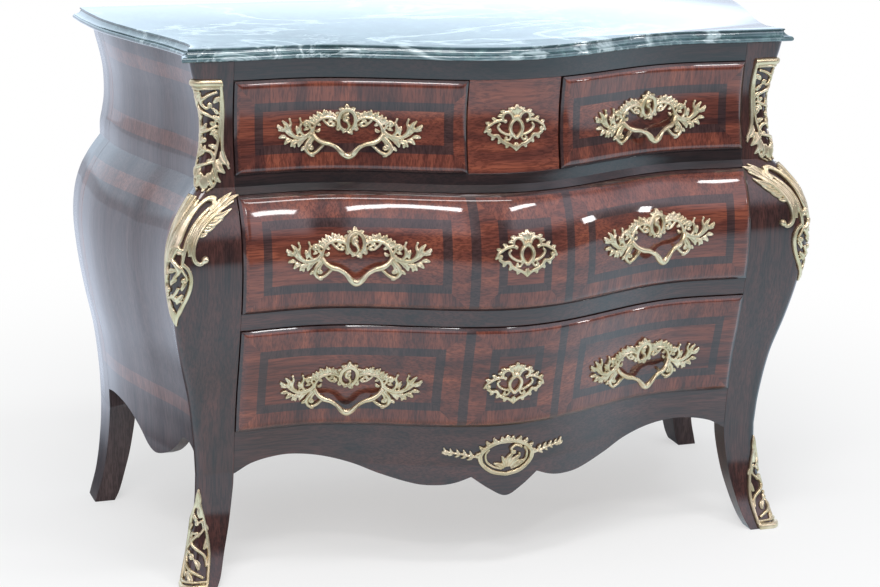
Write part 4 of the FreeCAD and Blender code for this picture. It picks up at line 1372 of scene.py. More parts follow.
@dataclass
class LeafSpray:
    """Leaflets in pairs along a stem, made by Geometry Nodes."""

    stem: Sequence[Place]
    pairs: int = 4
    length: float = 11.0
    splay: float = 42.0
    shrink: float = .55

    def tree(self, leaflet: Piece, material: Material) -> bpy.types.NodeTree:
        """Build the node tree that sets leaflets on both sides of a line.

        Args:
            leaflet: One leaflet along +X.
            material: The finish of the result.

        Returns:
            The tree, with its named sizes as inputs.
        """
        tree = bpy.data.node_groups.new("leaf_spray", "GeometryNodeTree")
        face = tree.interface
        face.new_socket("Geometry", in_out="INPUT", socket_type="NodeSocketGeometry")
        for name, kind in (("Pairs", "Int"), ("Splay", "Float"), ("Shrink", "Float")):
            face.new_socket(name, in_out="INPUT", socket_type="NodeSocket" + kind)
        face.new_socket("Geometry", in_out="OUTPUT", socket_type="NodeSocketGeometry")

        wiring = Wiring(tree)
        sizes = wiring.add("NodeGroupInput").outputs
        line = wiring.get("GeometryNodeMeshToCurve", {0: sizes["Geometry"]})
        line = wiring.get("GeometryNodeResampleCurve", {"Curve": line, "Count": sizes["Pairs"]})
        tangent = wiring.get("GeometryNodeInputTangent")
        along = wiring.get("FunctionNodeAlignRotationToVector", {"Vector": tangent}, axis="X",
                           pivot_axis="Z")
        share = wiring.add("GeometryNodeSplineParameter").outputs["Factor"]
        scale = wiring.minus(1.0, wiring.times(share, sizes["Shrink"]))
        source = wiring.add("GeometryNodeObjectInfo", {"Object": leaflet}).outputs["Geometry"]
        joined = wiring.add("GeometryNodeJoinGeometry")
        for sign in (1.0, -1.0):
            swing = {"Axis": (0.0, 0.0, 1.0), "Angle": wiring.times(sizes["Splay"], sign)}
            turn = {"Rotation": along,
                    "Rotate By": wiring.get("FunctionNodeAxisAngleToRotation", swing)}
            aimed = wiring.get("FunctionNodeRotateRotation", turn, rotation_space="LOCAL")
            leaves = {"Points": line, "Instance": source, "Rotation": aimed, "Scale": scale}
            tree.links.new(wiring.get("GeometryNodeInstanceOnPoints", leaves), joined.inputs[0])
        whole = wiring.get("GeometryNodeRealizeInstances", {0: joined.outputs[0]})
        finish = {"Geometry": whole, "Material": material}
        wiring.add("NodeGroupOutput", {0: wiring.get("GeometryNodeSetMaterial", finish)})
        return tree

    def add_to(self, shell: Shell, material: Material) -> None:
        """Set the leaflets along the stem and gather them into a casting's shell.

        Args:
            shell: The casting's shell.
            material: The casting's finish.
        """
        one = Shell()
        one.tube(leaf((0.0, 0.0), (self.length, 0.0), self.length * .42, .08).rings())
        leaflet = one.raw("spray_leaflet")
        line = smoothed(self.stem, 3.0)
        mesh = bpy.data.meshes.new("spray_stem")
        links = [(i, i + 1) for i in range(len(line) - 1)]
        mesh.from_pydata([(u, v, 0.0) for u, v in line], links, [])
        stem = placed("spray_stem", mesh)
        tree = self.tree(leaflet, material)
        spray = stem.modifiers.new("leaf_spray", "NODES")
        spray.node_group = tree
        values = {"Pairs": self.pairs, "Splay": math.radians(self.splay), "Shrink": self.shrink}
        for item in tree.interface.items_tree:
            if item.item_type == "SOCKET" and item.in_out == "INPUT" and item.name in values:
                spray[item.identifier] = values[item.name]
        shell.take_mesh(baked(stem))
        for extra in (stem, leaflet):
            bpy.data.objects.remove(extra)


def baked(piece: Piece) -> bpy.types.Mesh:
    """Return a plain mesh of a piece with its modifiers applied."""
    graph = bpy.context.evaluated_depsgraph_get()
    return bpy.data.meshes.new_from_object(piece.evaluated_get(graph))


@dataclass
class Casting:
    """A gilt casting drawn flat, in millimetres across and up, then bent onto its seat."""

    strands: list[Strand] = field(default_factory=list)
    sprays: list[LeafSpray] = field(default_factory=list)
    beads: list[Triple] = field(default_factory=list)
    rods: list[tuple[Array, Array]] = field(default_factory=list)
    voxel: float = .7
    fatness: float = 1.5
    bead_neck: float = 2.5
    smoothing: float = .5
    smooth_rounds: int = 2

    def mirror(self) -> None:
        """Add the left half's twins of every strand, spray and bead off the middle."""
        self.strands += [replace(strand, path=[(-u, v) for u, v in strand.path])
                         for strand in self.strands]
        self.sprays += [replace(spray, stem=[(-u, v) for u, v in spray.stem])
                        for spray in self.sprays]
        self.beads += [(-u, v, radius) for u, v, radius in self.beads]

    def rod(self, path: Sequence[Triple], radii: Sequence[float]) -> None:
        """Add a round rod that stands off the seat.

        Args:
            path: Its line, with each point's height off the seat.
            radii: Its radius at even shares of its length.
        """
        line = smoothed(path, 1.0)
        radius = Curve(list(zip(spread(0, 1, len(radii)), radii)))(spread(0, 1, len(line)))
        self.rods.append((line, radius))

    def dome(self, u: float, v: float, radius: float) -> Array:
        """Return the rings of a bead on a short neck."""
        rings = [raised(plan(u + radius * math.cos(a) * np.cos(ROUND),
                             v + radius * math.cos(a) * np.sin(ROUND)),
                        self.bead_neck + radius * math.sin(a))
                 for a in np.radians(spread(0, 90, 6)[:-1])]
        return np.stack([rings[0] * [1, 1, 0], *rings])

    @staticmethod
    def rod_rings(line: Array, radius: Array) -> Array:
        """Return the rings of a rod along its line."""
        way = np.gradient(line, axis=0)
        way /= np.linalg.norm(way, axis=1, keepdims=True)
        side = np.cross(way, [0, 0, 1])
        side /= np.linalg.norm(side, axis=1, keepdims=True)
        rise = np.cross(side, way)
        ring = side[:, None, :] * np.cos(ROUND)[:, None] + rise[:, None, :] * np.sin(ROUND)[:, None]
        return line[:, None, :] + ring * radius[:, None, None]

    def cast(self, material: Material) -> tuple[Array, Array]:
        """Fuse everything into one smooth closed skin.

        Args:
            material: The casting's finish.

        Returns:
            The skin's points, across, up and off the seat, and its quads.
        """
        shell = Shell()
        for strand in self.strands:
            widths = tuple(width * self.fatness for width in strand.widths)
            shell.tube(replace(strand, widths=widths).rings())
        for spray in self.sprays:
            spray.add_to(shell, material)
        for bead in self.beads:
            shell.tube(self.dome(*bead))
        for rod in self.rods:
            shell.tube(self.rod_rings(*rod))
        blank = shell.raw("casting_blank")
        skin = blank.modifiers.new("skin", "REMESH")
        skin.mode = "VOXEL"
        skin.voxel_size = self.voxel
        smooth = blank.modifiers.new("smooth", "SMOOTH")
        smooth.factor = self.smoothing
        smooth.iterations = self.smooth_rounds
        mesh = baked(blank)
        points = mesh_points(mesh)
        quads = np.empty(len(mesh.loops), int)
        mesh.loops.foreach_get("vertex_index", quads)
        bpy.data.objects.remove(blank)
        points[:, 2] = np.maximum(points[:, 2], 0.0)
        return points, quads.reshape(-1, 4)


@dataclass(frozen=True)
class FrontSeat:
    """A place on the case's front, or proud of it on a drawer."""

    x: float
    z: float
    proud: float

    def __call__(self, u: Array, v: Array) -> Array:
        """Return the seat's points, given how far they lie across and up from its centre."""
        x, z = self.x + u, self.z + v
        return np.stack([x, FORM.front_y(x, z) - self.proud, z], axis=-1)


@dataclass(frozen=True)
class CornerSeat:
    """The right front corner, measured round from the middle of its cant, and up from the floor."""

    def __call__(self, s: Array, z: Array) -> Array:
        """Return the seat's points."""
        x, y = FORM.corner(z)
        arris, turn = x - FORM.corner_cant, y + FORM.corner_cant
        half = FORM.corner_cant / math.sqrt(2)
        start = plan(arris, FORM.front_y(arris, z))
        end = plan(FORM.side_x(turn, z), turn)
        knuckle = (start + end) / 2
        knuckle = knuckle + (plan(x, y) - knuckle) * FrontPost.round_share
        share = np.clip((s + half) / (2 * half), 0, 1)[..., None]
        cant = start * (1 - share) ** 2 + knuckle * 2 * share * (1 - share) + end * share ** 2
        front_x = arris + s + half
        front = plan(front_x, FORM.front_y(front_x, z))
        side_y = turn + s - half
        side = plan(FORM.side_x(side_y, z), side_y)
        ring = np.where((s > half)[..., None], side, cant)
        ring = np.where((s < -half)[..., None], front, ring)
        return np.concatenate([ring, z[..., None]], axis=-1)


def lay(name: str, skin: Skin, seat: Seat, material: Material, mirrored: bool = False) -> Piece:
    """Bend a flat casting onto its seat.

    Args:
        name: The piece's name.
        skin: The casting's points and quads.
        seat: The surface that it lies on.
        material: Its finish.
        mirrored: Whether to make the twin on the other side of the middle plane.

    Returns:
        The finished casting.
    """
    points, quads = skin
    u, v, off = points.T
    across = seat(u + NUDGE, v) - seat(u - NUDGE, v)
    upward = seat(u, v + NUDGE) - seat(u, v - NUDGE)
    normal = np.cross(across, upward)
    normal /= np.linalg.norm(normal, axis=1, keepdims=True)
    laid = (seat(u, v) + normal * (off[:, None] + SEAT_GAP)) * MM
    if mirrored:
        laid = laid * [-1, 1, 1]
        quads = quads[:, ::-1]
    mesh = bpy.data.meshes.new(name)
    mesh.from_pydata(laid.tolist(), [], quads.tolist())
    return finished(name, mesh, material, CAST_CREASE)


def drawn(*parts: Strand | tuple[float, ...]) -> list[Strand]:
    """List a casting's strands; a bare row is a leaf: its root, tip, width, bend and height."""
    return [part if isinstance(part, Strand) else leaf(part[:2], part[2:4], *part[4:])
            for part in parts]


def drop_handle() -> Casting:
    """Draw the drawers' pull: an arch between two leafy wings, a shell crest and a bowed grip."""
    arch = (4, 3.8, 3.4)
    pull = Casting(drawn(
        Strand([(11, 12), (16, 18), (24, 22), (34, 22), (44, 18), (51, 9), (53, -3), (49, -12)],
               arch, (5, 6, 5.5)),
        Strand([(38, 20), (33, 14), (27, 9), *spiral(22, 12, 4.5, -40, -280)], (3.2, 3, 2.2),
               (4.5, 5, 5)),
        Strand([(12, 16), (15, 8), *spiral(13, 4, 3.6, 60, -250)], (3.2, 2.8, 2.2), (4.5, 5, 5)),
        (19, 19, 21, 30, 6.5, -.2), (26, 21, 32, 33, 6.5, -.18), (34, 21, 43, 31, 6.5, -.18),
        (41, 18, 53, 27, 6.5, -.15), (47, 13, 59, 20, 5.5, -.12), (24, 20, 17, 26, 4.5, .15),
        Strand([(53, 3), (60, -4), (70, -8), (81, -8), (91, -3), (99, 4), (105, 8), (112, 10)],
               (4.4, 4.4, 3.6, 2), (5.5, 6, 5, 3.5), .3), (100, 4, 111, 13, 5.5, -.1),
        (99, 3, 110, 4, 4.5, .1),
        Strand([(55, 4), (59, 10), *spiral(64, 12, 6, 170, -330)], (3.6, 3.2, 2.2), (5, 5.5, 5)),
        Strand([(68, -6), (73, 0), (74, 8), (72, 14), (74, 21)], (3.4, 3.8, 2), (5, 5.5, 3.5)),
        Strand([(83, -6), (89, 0), (91, 8), (89, 14), (91, 21)], (3.4, 3.8, 2), (5, 5.5, 3.5)),
        (73, 2, 80, 10, 4.5, -.2), (90, 2, 97, 8, 4.5, -.2), (95, 1, 103, 19, 5.5, .15),
        Strand([(62, -7), (72, -14), (84, -15), (94, -10), (103, -5)], (3.6, 3.8, 3.2, 2),
               (4.5, 5, 4, 3), .3), (68, -11, 77, -24, 6.5, .15), (78, -14, 90, -23, 6, .15),
        (89, -12, 100, -19, 5.5, .15), (97, -7, 109, -8, 5, .1),
        Strand([(51, -4), (58, -12), (64, -20), (65, -28), (59, -35), (50, -33), (42, -26),
                (36, -20)], (4.4, 4.4, 4, 3.6), (5, 5.5, 6, 7)),
        Strand([(52, -11), (57, -18), *spiral(56, -25, 5, 80, -330)], (3.2, 3, 2.2), (5, 5, 5)),
        (60, -33, 52, -39, 4.5, .1), (66, -24, 73, -30, 4.5, .1), (22, 17, 30, 12, 4.5, .2),
        (30, 27, 25, 33, 4, .1), (37, 26, 36, 35, 4, .1), (45, 23, 47, 32, 4, .1),
        (60, 4, 68, 2, 4, .2), (78, -4, 82, 6, 4, .2), (62, -9, 60, -2, 4, .2),
        (84, -16, 83, -25, 4, .1), (56, 14, 58, 24, 4.5, .1), (49, 0, 42, 5, 4, .2),
        (46, 14, 40, 10, 4, .2),
    ), beads=[(64, 12, 3), (22, 12, 2.4), (56, -25, 2.6), (13, 4, 2), (74, 21, 2.2),
              (91, 21, 2.2)])
    pull.mirror()
    pull.strands += drawn(
        Strand([(-6, 2), (-12, 10), (-13, 20), (-9, 30), (0, 35), (9, 31), (13, 22), (12, 12),
                (7, 3), (2, -3)], (4, 4.8, 5, 4.8, 3), (6, 8, 8, 7, 5), .25),
        Strand([(3, 29), (-3, 26), (-4, 19), (1, 15), (3, 8), (-1, 2)], (4, 5, 4, 2.5),
               (8, 9, 8, 6)), (0, 32, -1, 44, 7, .0, 7.5), (5, 32, 13, 37, 5.5, .1, 6.5),
        (-5, 32, -13, 36, 5.5, -.1, 6.5), (10, 27, 19, 29, 4.5, .1), (-10, 27, -18, 29, 4.5, -.1),
        (0, 2, 8, -5, 6.5, .1, 6.5), (0, 3, -7, -3, 5, -.1, 6),
    )
    pull.beads.append((0, 21, 4.2))
    half = [(54, -3, 5), (48, -11.5, 9), (39, -17, 14), (28, -19.5, 17.5), (17, -26, 19.5),
            (8, -35.5, 20)]
    bow = [(-u, v, w) for u, v, w in half] + [(.0, -39.5, 20)] + half[::-1]
    pull.rod(bow, (3.2, 3.6, 4.3, 3.6, 3.4, 4.6, 5.4, 4.6, 3.4, 3.6, 4.3, 3.6, 3.2))
    for side in (-1, 1):
        pull.rod([(54 * side, -3, 1), (54 * side, -3, 6)], (5, 5))
        pull.rod([(20 * side, -21, 22), (10 * side, -31, 24), (3 * side, -40, 22)], (1.4, 2.6, 1.6))
    return pull


def shield() -> Casting:
    """Draw the escutcheon: a keyhole shield in a rhombus of scrolls and leaves."""
    plate = Casting(drawn(
        (0, 20, 1, 37, 7.5, .0, 6), (4, 20, 14, 31, 6, .15), (3, 24, 8, 33, 4.5, .0),
        Strand([(5, 14), (8, 21), (15, 25), (22, 21), (22, 13), (17, 8)], (3.4, 3.6, 3),
               (5, 5.5, 5)), (18, 24, 27, 26, 4.5, .1), (22, 19, 31, 18, 4.5, .1),
        Strand([(16, 10), (26, 12), (36, 9), (43, 4), *spiral(44, -3, 5.5, 60, -300)],
               (3.8, 3.8, 3, 2.4), (5, 5.5, 5)), (33, 10, 40, 16, 4.5, .1),
        (42, 5, 50, 8, 4.5, .1), (47, -2, 52, -8, 3.8, .0),
        Strand([(46, -8), (38, -13), (30, -13), (26, -19), (18, -25), (9, -28), (0, -36)],
               (3.6, 4, 4, 2.6), (5, 5.5, 5, 4), .25), (36, -13, 40, -20, 4.5, .0),
        (26, -19, 30, -26, 4.5, .0), (14, -26, 17, -33, 4.5, .0),
        Strand([(10, -12), (18, -10), (26, -5), (30, 2), (26, 7)], (3.2, 3.4, 2.6), (4.5, 5, 4.5)),
        Strand([(8, -14), (12, -20), *spiral(16, -17, 3.5, -120, 260)], (2.8, 2.6, 2),
               (4.5, 4.5, 4.5)),
        Strand([(0, 14), (-7, 9), (-10, 1), (-8, -8), (0, -18)], (4, 4.4, 4), (6, 7, 6)),
    ), beads=[(44, -3, 2.6), (30, 2, 2.2), (16, -17, 1.8), (22, 13, 2)])
    plate.mirror()
    plate.strands += drawn(
        (0, -24, 0, -38, 6.5, .0), Strand([(-4, 13), (0, 17), (4, 13)], (4, 5, 4), (7, 8, 7)),
    )
    return plate


def apron_cartouche() -> Casting:
    """Draw the apron's mount: an oval frame round a leafy hollow, with a spray on each side."""
    frame_right = [(0, 26), (16, 25), (32, 18), (43, 7), (45, -4), (37, -17), (22, -27), (0, -32)]
    plate = Casting(drawn(
        Strand(frame_right, (4.6, 5.2, 5.2, 4.6), (5.5, 6, 6, 5.5), .3), (6, 26, 10, 35, 5.5, -.1),
        (17, 24, 24, 33, 5.5, -.1), (28, 20, 36, 28, 5.5, -.1), (37, 13, 47, 19, 5, -.1),
        Strand([(38, -16), (42, -8), *spiral(49, 2, 6, 200, -300)], (3.4, 3.2, 2.2), (5, 5.5, 5)),
        Strand([(30, 13), (36, 4), (34, -8), (24, -17), (8, -23)], (2.6, 3, 3, 2.6),
               (3.5, 4, 4, 3.5)),
        Strand([(46, 2), (58, 2), (72, 6), (86, 8), (102, 11)], (3.4, 3.2, 2.6, 1.8),
               (4.5, 5, 4.5, 3.5)), (94, 8, 106, 10, 6, .0),
    ), sprays=[LeafSpray([(56, 2), (72, 6), (86, 8), (99, 11)], 5, 12, 44, .30)])
    plate.mirror()
    plate.strands += drawn(
        (0, 26, 0, 37, 7, .0), (2, -20, 12, 6, 7, .15), (6, -20, 25, 0, 7, .1),
        (0, -20, -8, 0, 6, .0), (10, -20, 30, -10, 6, .1), (-4, -22, -22, -12, 5.5, -.1),
        Strand([(26, 14), (14, 18), (6, 12), *spiral(12, 7, 5, 140, 260)], (3.6, 3.4, 2.4),
               (5, 6, 5)),
    )
    plate.beads += [(12, 7, 3), (49, 2, 2.6), (-49, 2, 2.6), (22, 2, 2.6)]
    return plate


def upper_corner() -> Casting:
    """Draw the upper corner mount: a capped strip of scrollwork between two bands."""
    edge_front = [(-38, 815), (-35, 790), (-31, 760), (-29, 735), (-31, 715), (-39, 697),
                  (-47, 684)]
    edge_side = [(21, 815), (18, 785), (14, 755), (13, 725), (16, 700), (19, 680), (12, 662),
                 (2, 652)]
    strip = Casting(drawn(
        Strand([(-42, 819), (-14, 820), (25, 819)], (8, 7.5, 8), (6.5, 7, 6.5)),
        Strand([(-40, 812), (-10, 812), (22, 812)], (3, 3, 3), (5, 5, 5)),
        Strand(edge_front, (4.4, 4, 4.2, 2.6), (5.5, 5.5, 6, 4)),
        Strand(edge_side, (4.2, 4, 4, 3), (5.5, 5.5, 5.5, 4)),
        Strand([(-36, 806), (-30, 780), (-25, 750), (-22, 722), (-20, 696), (-27, 676), (-24, 662),
                (-14, 650)], (3, 3, 3.4, 2.8), (4.5, 5, 5.5, 4)),
        Strand([(-30, 806), (-12, 800), (-2, 790), (-8, 780), *spiral(-13, 786, 5, -60, -250)],
               (3.2, 3.6, 2.2)),
        Strand([(8, 800), (6, 782), (-8, 770), (-20, 762), *spiral(-14, 757, 5.5, 160, 250)],
               (3.2, 3.8, 2.2)),
        Strand([(-22, 752), (-8, 746), (6, 738), (4, 726), *spiral(-1, 731, 5, -40, -260)],
               (3.4, 3.8, 2.2)),
        Strand([(8, 726), (0, 716), (-12, 712), (-18, 704), *spiral(-12, 699, 5, 160, 250)],
               (3.4, 3.8, 2.2)),
        Strand([(-18, 696), (-4, 692), (8, 684), (4, 672), *spiral(-2, 677, 5, -40, -260)],
               (3.4, 3.8, 2.2)), (8, 790, -4, 806, 5.5, .1), (4, 762, 8, 778, 5, .1),
        (-24, 770, -16, 780, 5, .1), (6, 742, -6, 757, 5.5, .1), (-22, 730, -12, 742, 5, .1),
        (6, 704, -4, 722, 5.5, .1), (-30, 712, -46, 690, 8, .15, 6),
        (-26, 700, -41, 678, 8, .15, 6), (-22, 688, -34, 664, 8, .15, 6),
        (-14, 680, -22, 656, 8, .1, 6), (0, 690, 16, 668, 8, -.15, 6),
        (-4, 678, 6, 656, 8, -.1, 6), (-8, 676, -8, 650, 9, .0, 6.5), (-34, 796, -20, 788, 6, .1),
        (12, 772, 0, 766, 6, .1), (-28, 756, -14, 768, 6, .1), (10, 748, 0, 742, 5, .1),
        (-22, 744, -10, 738, 5.5, .1), (10, 716, 2, 706, 6, .1), (-20, 716, -8, 722, 5.5, .1),
        (10, 700, 12, 686, 6, .1), (-4, 806, 12, 796, 6, .1),
        Strand([(10, 812), (8, 785), (5, 755), (4, 728), (8, 702)], (3, 2.8, 3), (4.5, 4.5, 4.5)),
    ), beads=[(-38, 819, 4.4), (21, 819, 4.4), (-12, 786, 2.6), (-14, 757, 2.6), (-1, 731, 2.6),
              (-12, 699, 2.6), (-2, 677, 2.6)], voxel=.75)
    return strip


def lower_corner() -> Casting:
    """Draw the lower corner mount: a scroll and a fan of leaves over a long pierced drop."""
    return Casting(drawn(
        Strand([(4, 645), (10, 620), (17, 595), (24, 570), (30, 545), (31, 522), (24, 500)],
               (4.4, 5, 5.4, 4.4), (6, 7, 7, 5), .25),
        Strand([(-3, 644), (3, 618), (10, 592), (16, 568), (19, 545), (14, 528)],
               (4.4, 5.4, 5.4, 4), (6.5, 8, 8, 6), .25),
        Strand([(12, 642), (20, 618), (27, 594), (34, 568), (38, 545), (37, 520)],
               (3.2, 4, 4.2, 3), (5, 6, 6, 4)),
        Strand([(4, 556), (-3, 580), (-6, 606), (-12, 628), (-23, 640), (-35, 639),
                *spiral(-36, 629, 7, 80, 250)], (5, 5.6, 6, 5.6, 3.2), (7, 8, 8.5, 8, 7), .25),
        Strand([(-48, 552), (-41, 547), (-33, 551), (-28, 562), (-27, 578), (-31, 596), (-40, 612),
                (-54, 626), (-68, 636)], (4.6, 5, 5.6, 6.4, 6.8, 5, 2.4),
               (6, 7.5, 8.5, 9, 8, 6, 4), .3),
        Strand([(-22, 560), (-20, 578), (-24, 598), (-33, 616), (-47, 630), (-62, 643)],
               (3.4, 4.4, 5, 4.4, 2.2), (6, 7.5, 8, 6.5, 4), .3),
        (-45, 622, -57, 648, 8, -.12, 6.5), (-50, 626, -70, 644, 7.5, -.1, 6.5),
        (-44, 614, -70, 626, 7.5, .12, 6.5), (-38, 606, -63, 614, 7, .14, 6),
        (-34, 600, -54, 602, 6, .16, 5.5), (-31, 592, -45, 592, 5, .16, 5),
        Strand([(4, 556), (-4, 548), (-8, 538), (-2, 526)], (4.4, 4.6, 3.6), (7, 7.5, 6)),
        Strand([(3, 572), (-5, 574), *spiral(-6, 567, 5, 80, 260)], (3.6, 3.4, 2.4), (6.5, 7, 6)),
        Strand([(-14, 548), (-22, 540), (-27, 528), (-26, 512), (-20, 496), (-10, 478), (-3, 462),
                (0, 450)], (4, 5, 5, 4.6, 2.6), (6, 7, 6.5, 5.5, 4), .25),
        Strand([(-10, 544), (-16, 534), *spiral(-15, 524, 6, 140, 280)], (3.6, 3.4, 2.4),
               (6, 6.5, 6)),
        Strand([(31, 524), (26, 504), (18, 486), (10, 470), (4, 458), (0, 448)],
               (4.6, 4.8, 4.2, 2.6), (6, 6, 5.5, 4), .25),
        Strand([(14, 530), (20, 518), (17, 506), *spiral(10, 508, 6, -20, -280)], (3.6, 3.6, 2.4),
               (6, 6.5, 6)),
        Strand([(-8, 512), (-2, 500), (8, 492), (12, 482)], (3.2, 3.6, 2.6), (5, 5.5, 4.5)),
        (30, 560, 41, 572, 5.5, .1), (34, 545, 43, 553, 5.5, .1), (36, 528, 43, 534, 5, .1),
        (4, 500, -12, 488, 5.5, .1), (8, 488, 2, 470, 6, .1), (6, 478, -2, 460, 6, .0),
        (2, 468, 0, 446, 6, .0), (-6, 526, 4, 514, 5, .1),
        Strand([(17, 644), (26, 618), (34, 592), (40, 566), (42, 545)], (3, 4, 3.6, 2.4),
               (4.5, 5, 4)),
        Strand([(-9, 640), (-4, 616), (2, 590), (8, 566), (9, 550)], (3, 4.4, 4.4, 3),
               (6, 8, 8, 6), .25),
        Strand([(-12, 546), (-13, 568), (-15, 590), (-21, 610), (-31, 626), (-45, 640)],
               (3.2, 5.2, 5.6, 4.6, 2.4), (6, 8, 8.5, 7, 4.5), .3), (20, 536, 32, 520, 6, .1),
        (18, 520, 30, 502, 6, .1), (14, 500, 22, 486, 6, .1), (-4, 540, 10, 532, 6, .1),
        (-20, 520, -12, 506, 5.5, .1), (-14, 500, -4, 484, 6, .1),
        (-40, 618, -48, 644, 7, -.1, 6.5), (-30, 600, -38, 622, 6, -.1, 7),
    ), beads=[(-48, 553, 6), (-36, 629, 3.8), (-6, 567, 3.2), (-15, 524, 3.4), (10, 508, 3.4)],
       voxel=.88, fatness=1.4)


def foot_sabot() -> Casting:
    """Draw the front foot's mount: a leafy point over a pierced frame and a rolled toe."""
    return Casting(drawn(
        Strand([(-33, 4), (-3, 4), (27, 4)], (7.5, 7.5, 7.5), (6.5, 7.5, 6.5)),
        Strand([(-31, 12), (-3, 13), (25, 12)], (3.2, 3.2, 3.2), (5, 5.5, 5)),
        Strand([(-32, 8), (-30, 30), (-27, 55), (-21, 82), (-14, 108), (-7, 132), (-4, 154)],
               (4.4, 4.4, 4, 3.4, 2.4), (5.5, 6, 5.5, 4.5)),
        Strand([(26, 8), (24, 30), (20, 55), (14, 82), (7, 108), (0, 132), (-4, 154)],
               (4.4, 4.4, 4, 3.4, 2.4), (5.5, 6, 5.5, 4.5)),
        Strand([(-24, 18), (-8, 26), (8, 36), (14, 48), (6, 56), *spiral(1, 48, 6, 60, 250)],
               (3.4, 3.8, 2.4)),
        Strand([(-26, 34), (-20, 50), (-8, 60), (4, 72), (2, 86), *spiral(-5, 82, 5.5, 30, 260)],
               (3.4, 3.8, 2.4)),
        Strand([(10, 62), (-2, 78), (-14, 92), (-10, 106), *spiral(-5, 100, 4.5, 130, -260)],
               (3.2, 3.4, 2.2)), (8, 20, 16, 34, 6, .1), (-14, 30, -4, 46, 6, .1),
        (-18, 60, -20, 78, 6, .1), (-4, 104, 4, 118, 5, .0), (-8, 110, -6, 132, 6, .0),
        (-4, 126, -4, 158, 7, .0, 6), (-22, 90, -13, 104, 5, .0), (12, 88, 4, 100, 5, .0),
        (-6, 14, 4, 28, 6.5, .0),
    ), beads=[(1, 48, 2.8), (-5, 82, 2.6), (-5, 100, 2.2), (-30, 5, 4.4), (24, 5, 4.4)], voxel=.75,
       fatness=1.35)


@dataclass
class Castings:
    """All the gilt castings, each drawn once and laid on its seats."""

    handle_x: float = 258.0
    drawer_proud: float = 9.0
    handle_levels: Triple = (737.0, 550.0, 324.0)
    shield_levels: Triple = (745.0, 555.0, 331.0)
    apron_level: float = 197.0

    def build(self, material: Material) -> None:
        """Make every casting."""
        self.handles(material)
        self.shields(material)
        apron = apron_cartouche().cast(material)
        piece = lay("apron_cartouche", apron, FrontSeat(0, self.apron_level, 0), material)
        dress(piece, Body.CASE, Slot.GILT, "apron_mount")
        for name, node, casting in (("upper_corner", "upper_mount", upper_corner()),
                                    ("lower_corner", "lower_mount", lower_corner()),
                                    ("foot_sabot", "sabot", foot_sabot())):
            skin = casting.cast(material)
            for side in SIDES:
                piece = lay(name + "_" + side, skin, CornerSeat(), material, side == "left")
                dress(piece, Body.CASE, Slot.GILT, node + "_" + side)

    def handles(self, material: Material) -> None:
        """Make the six pulls."""
        skin = drop_handle().cast(material)
        top, middle, bottom = self.handle_levels
        for side, x, short in (("left", -self.handle_x, Body.TOP_LEFT),
                               ("right", self.handle_x, Body.TOP_RIGHT)):
            seats = ((short, top, "top_" + side + "_handle"),
                     (Body.MIDDLE, middle, "middle_handle_" + side),
                     (Body.BOTTOM, bottom, "bottom_handle_" + side))
            for body, level, node in seats:
                seat = FrontSeat(x, level, self.drawer_proud)
                piece = lay(node.replace("handle", "pull"), skin, seat, material)
                dress(piece, body, Slot.GILT, node)

    def shields(self, material: Material) -> None:
        """Make the three escutcheons."""
        skin = shield().cast(material)
        seats = ((Body.CASE, 0.0, "top"), (Body.MIDDLE, self.drawer_proud, "middle"),
                 (Body.BOTTOM, self.drawer_proud, "bottom"))
        for (body, proud, name), level in zip(seats, self.shield_levels):
            piece = lay(name + "_shield", skin, FrontSeat(0, level, proud), material)
            dress(piece, body, Slot.GILT, name + "_escutcheon")


# ---- pieces kept as they are ----
def dress_inner_pieces() -> None:
    """Give the solids that stay in view their finishes."""
    across = PlainWood().material("plain_wood_x", Run.ACROSS)
    deep = PlainWood().material("plain_wood_y", Run.DEEP)
    steel = Steel().material("filed_steel")
    brass = Gilt(plain=True).material("plain_brass")
    finishes = ((("lock_case", "lock_bolt"), steel), (("screws",), brass),
                (("sides", "partitions", "drawer_guides"), deep))
    for name, node in frame["nodes"].items():
        if node.hide_render:
            continue
        material = next((finish for ends, finish in finishes if name.endswith(ends)), across)
        for place in node.material_slots:
            place.material = material
        LOG.info("%s: %s", name, material.name)


# ---- studio ----
@dataclass(frozen=True)
class Lamp:
    """A rectangular lamp, in metres and watts; some don't show in the lacquer."""

    name: str
    place: Triple
    aim: Triple
    size: Place
    power: float
    mirrored: bool = True

    def hang(self) -> None:
        """Add the lamp, turned towards its aim."""
        data = bpy.data.lights.new(self.name, "AREA")
        data.shape = "RECTANGLE"
        data.size, data.size_y = self.size
        data.energy = self.power
        lamp = placed(self.name, data)
        lamp.location = self.place
        lamp.visible_glossy = self.mirrored
        way = Vector(self.aim) - Vector(self.place)
        lamp.rotation_euler = way.to_track_quat("-Z", "Y").to_euler()


LAMPS = (Lamp("key_softbox", (-1.6, -2.6, 2.9), (0.0, 0.0, .45), (1.8, 1.8), 48.0, mirrored=False),
         Lamp("window_left", (-1.1, -2.3, 3.0), (0.0, -.2, .5), (.9, .2), 14.0),
         Lamp("window_right", (1.19, -2.3, 3.0), (0.0, -.2, .5), (1.02, .2), 15.0),
         Lamp("window_far", (3.6, -2.0, 1.55), (.15, -.26, .6), (.3, .3), 9.0),
         Lamp("overhead", (0.0, -.95, 3.0), (0.0, -.3, .7), (1.4, .4), 24.0))


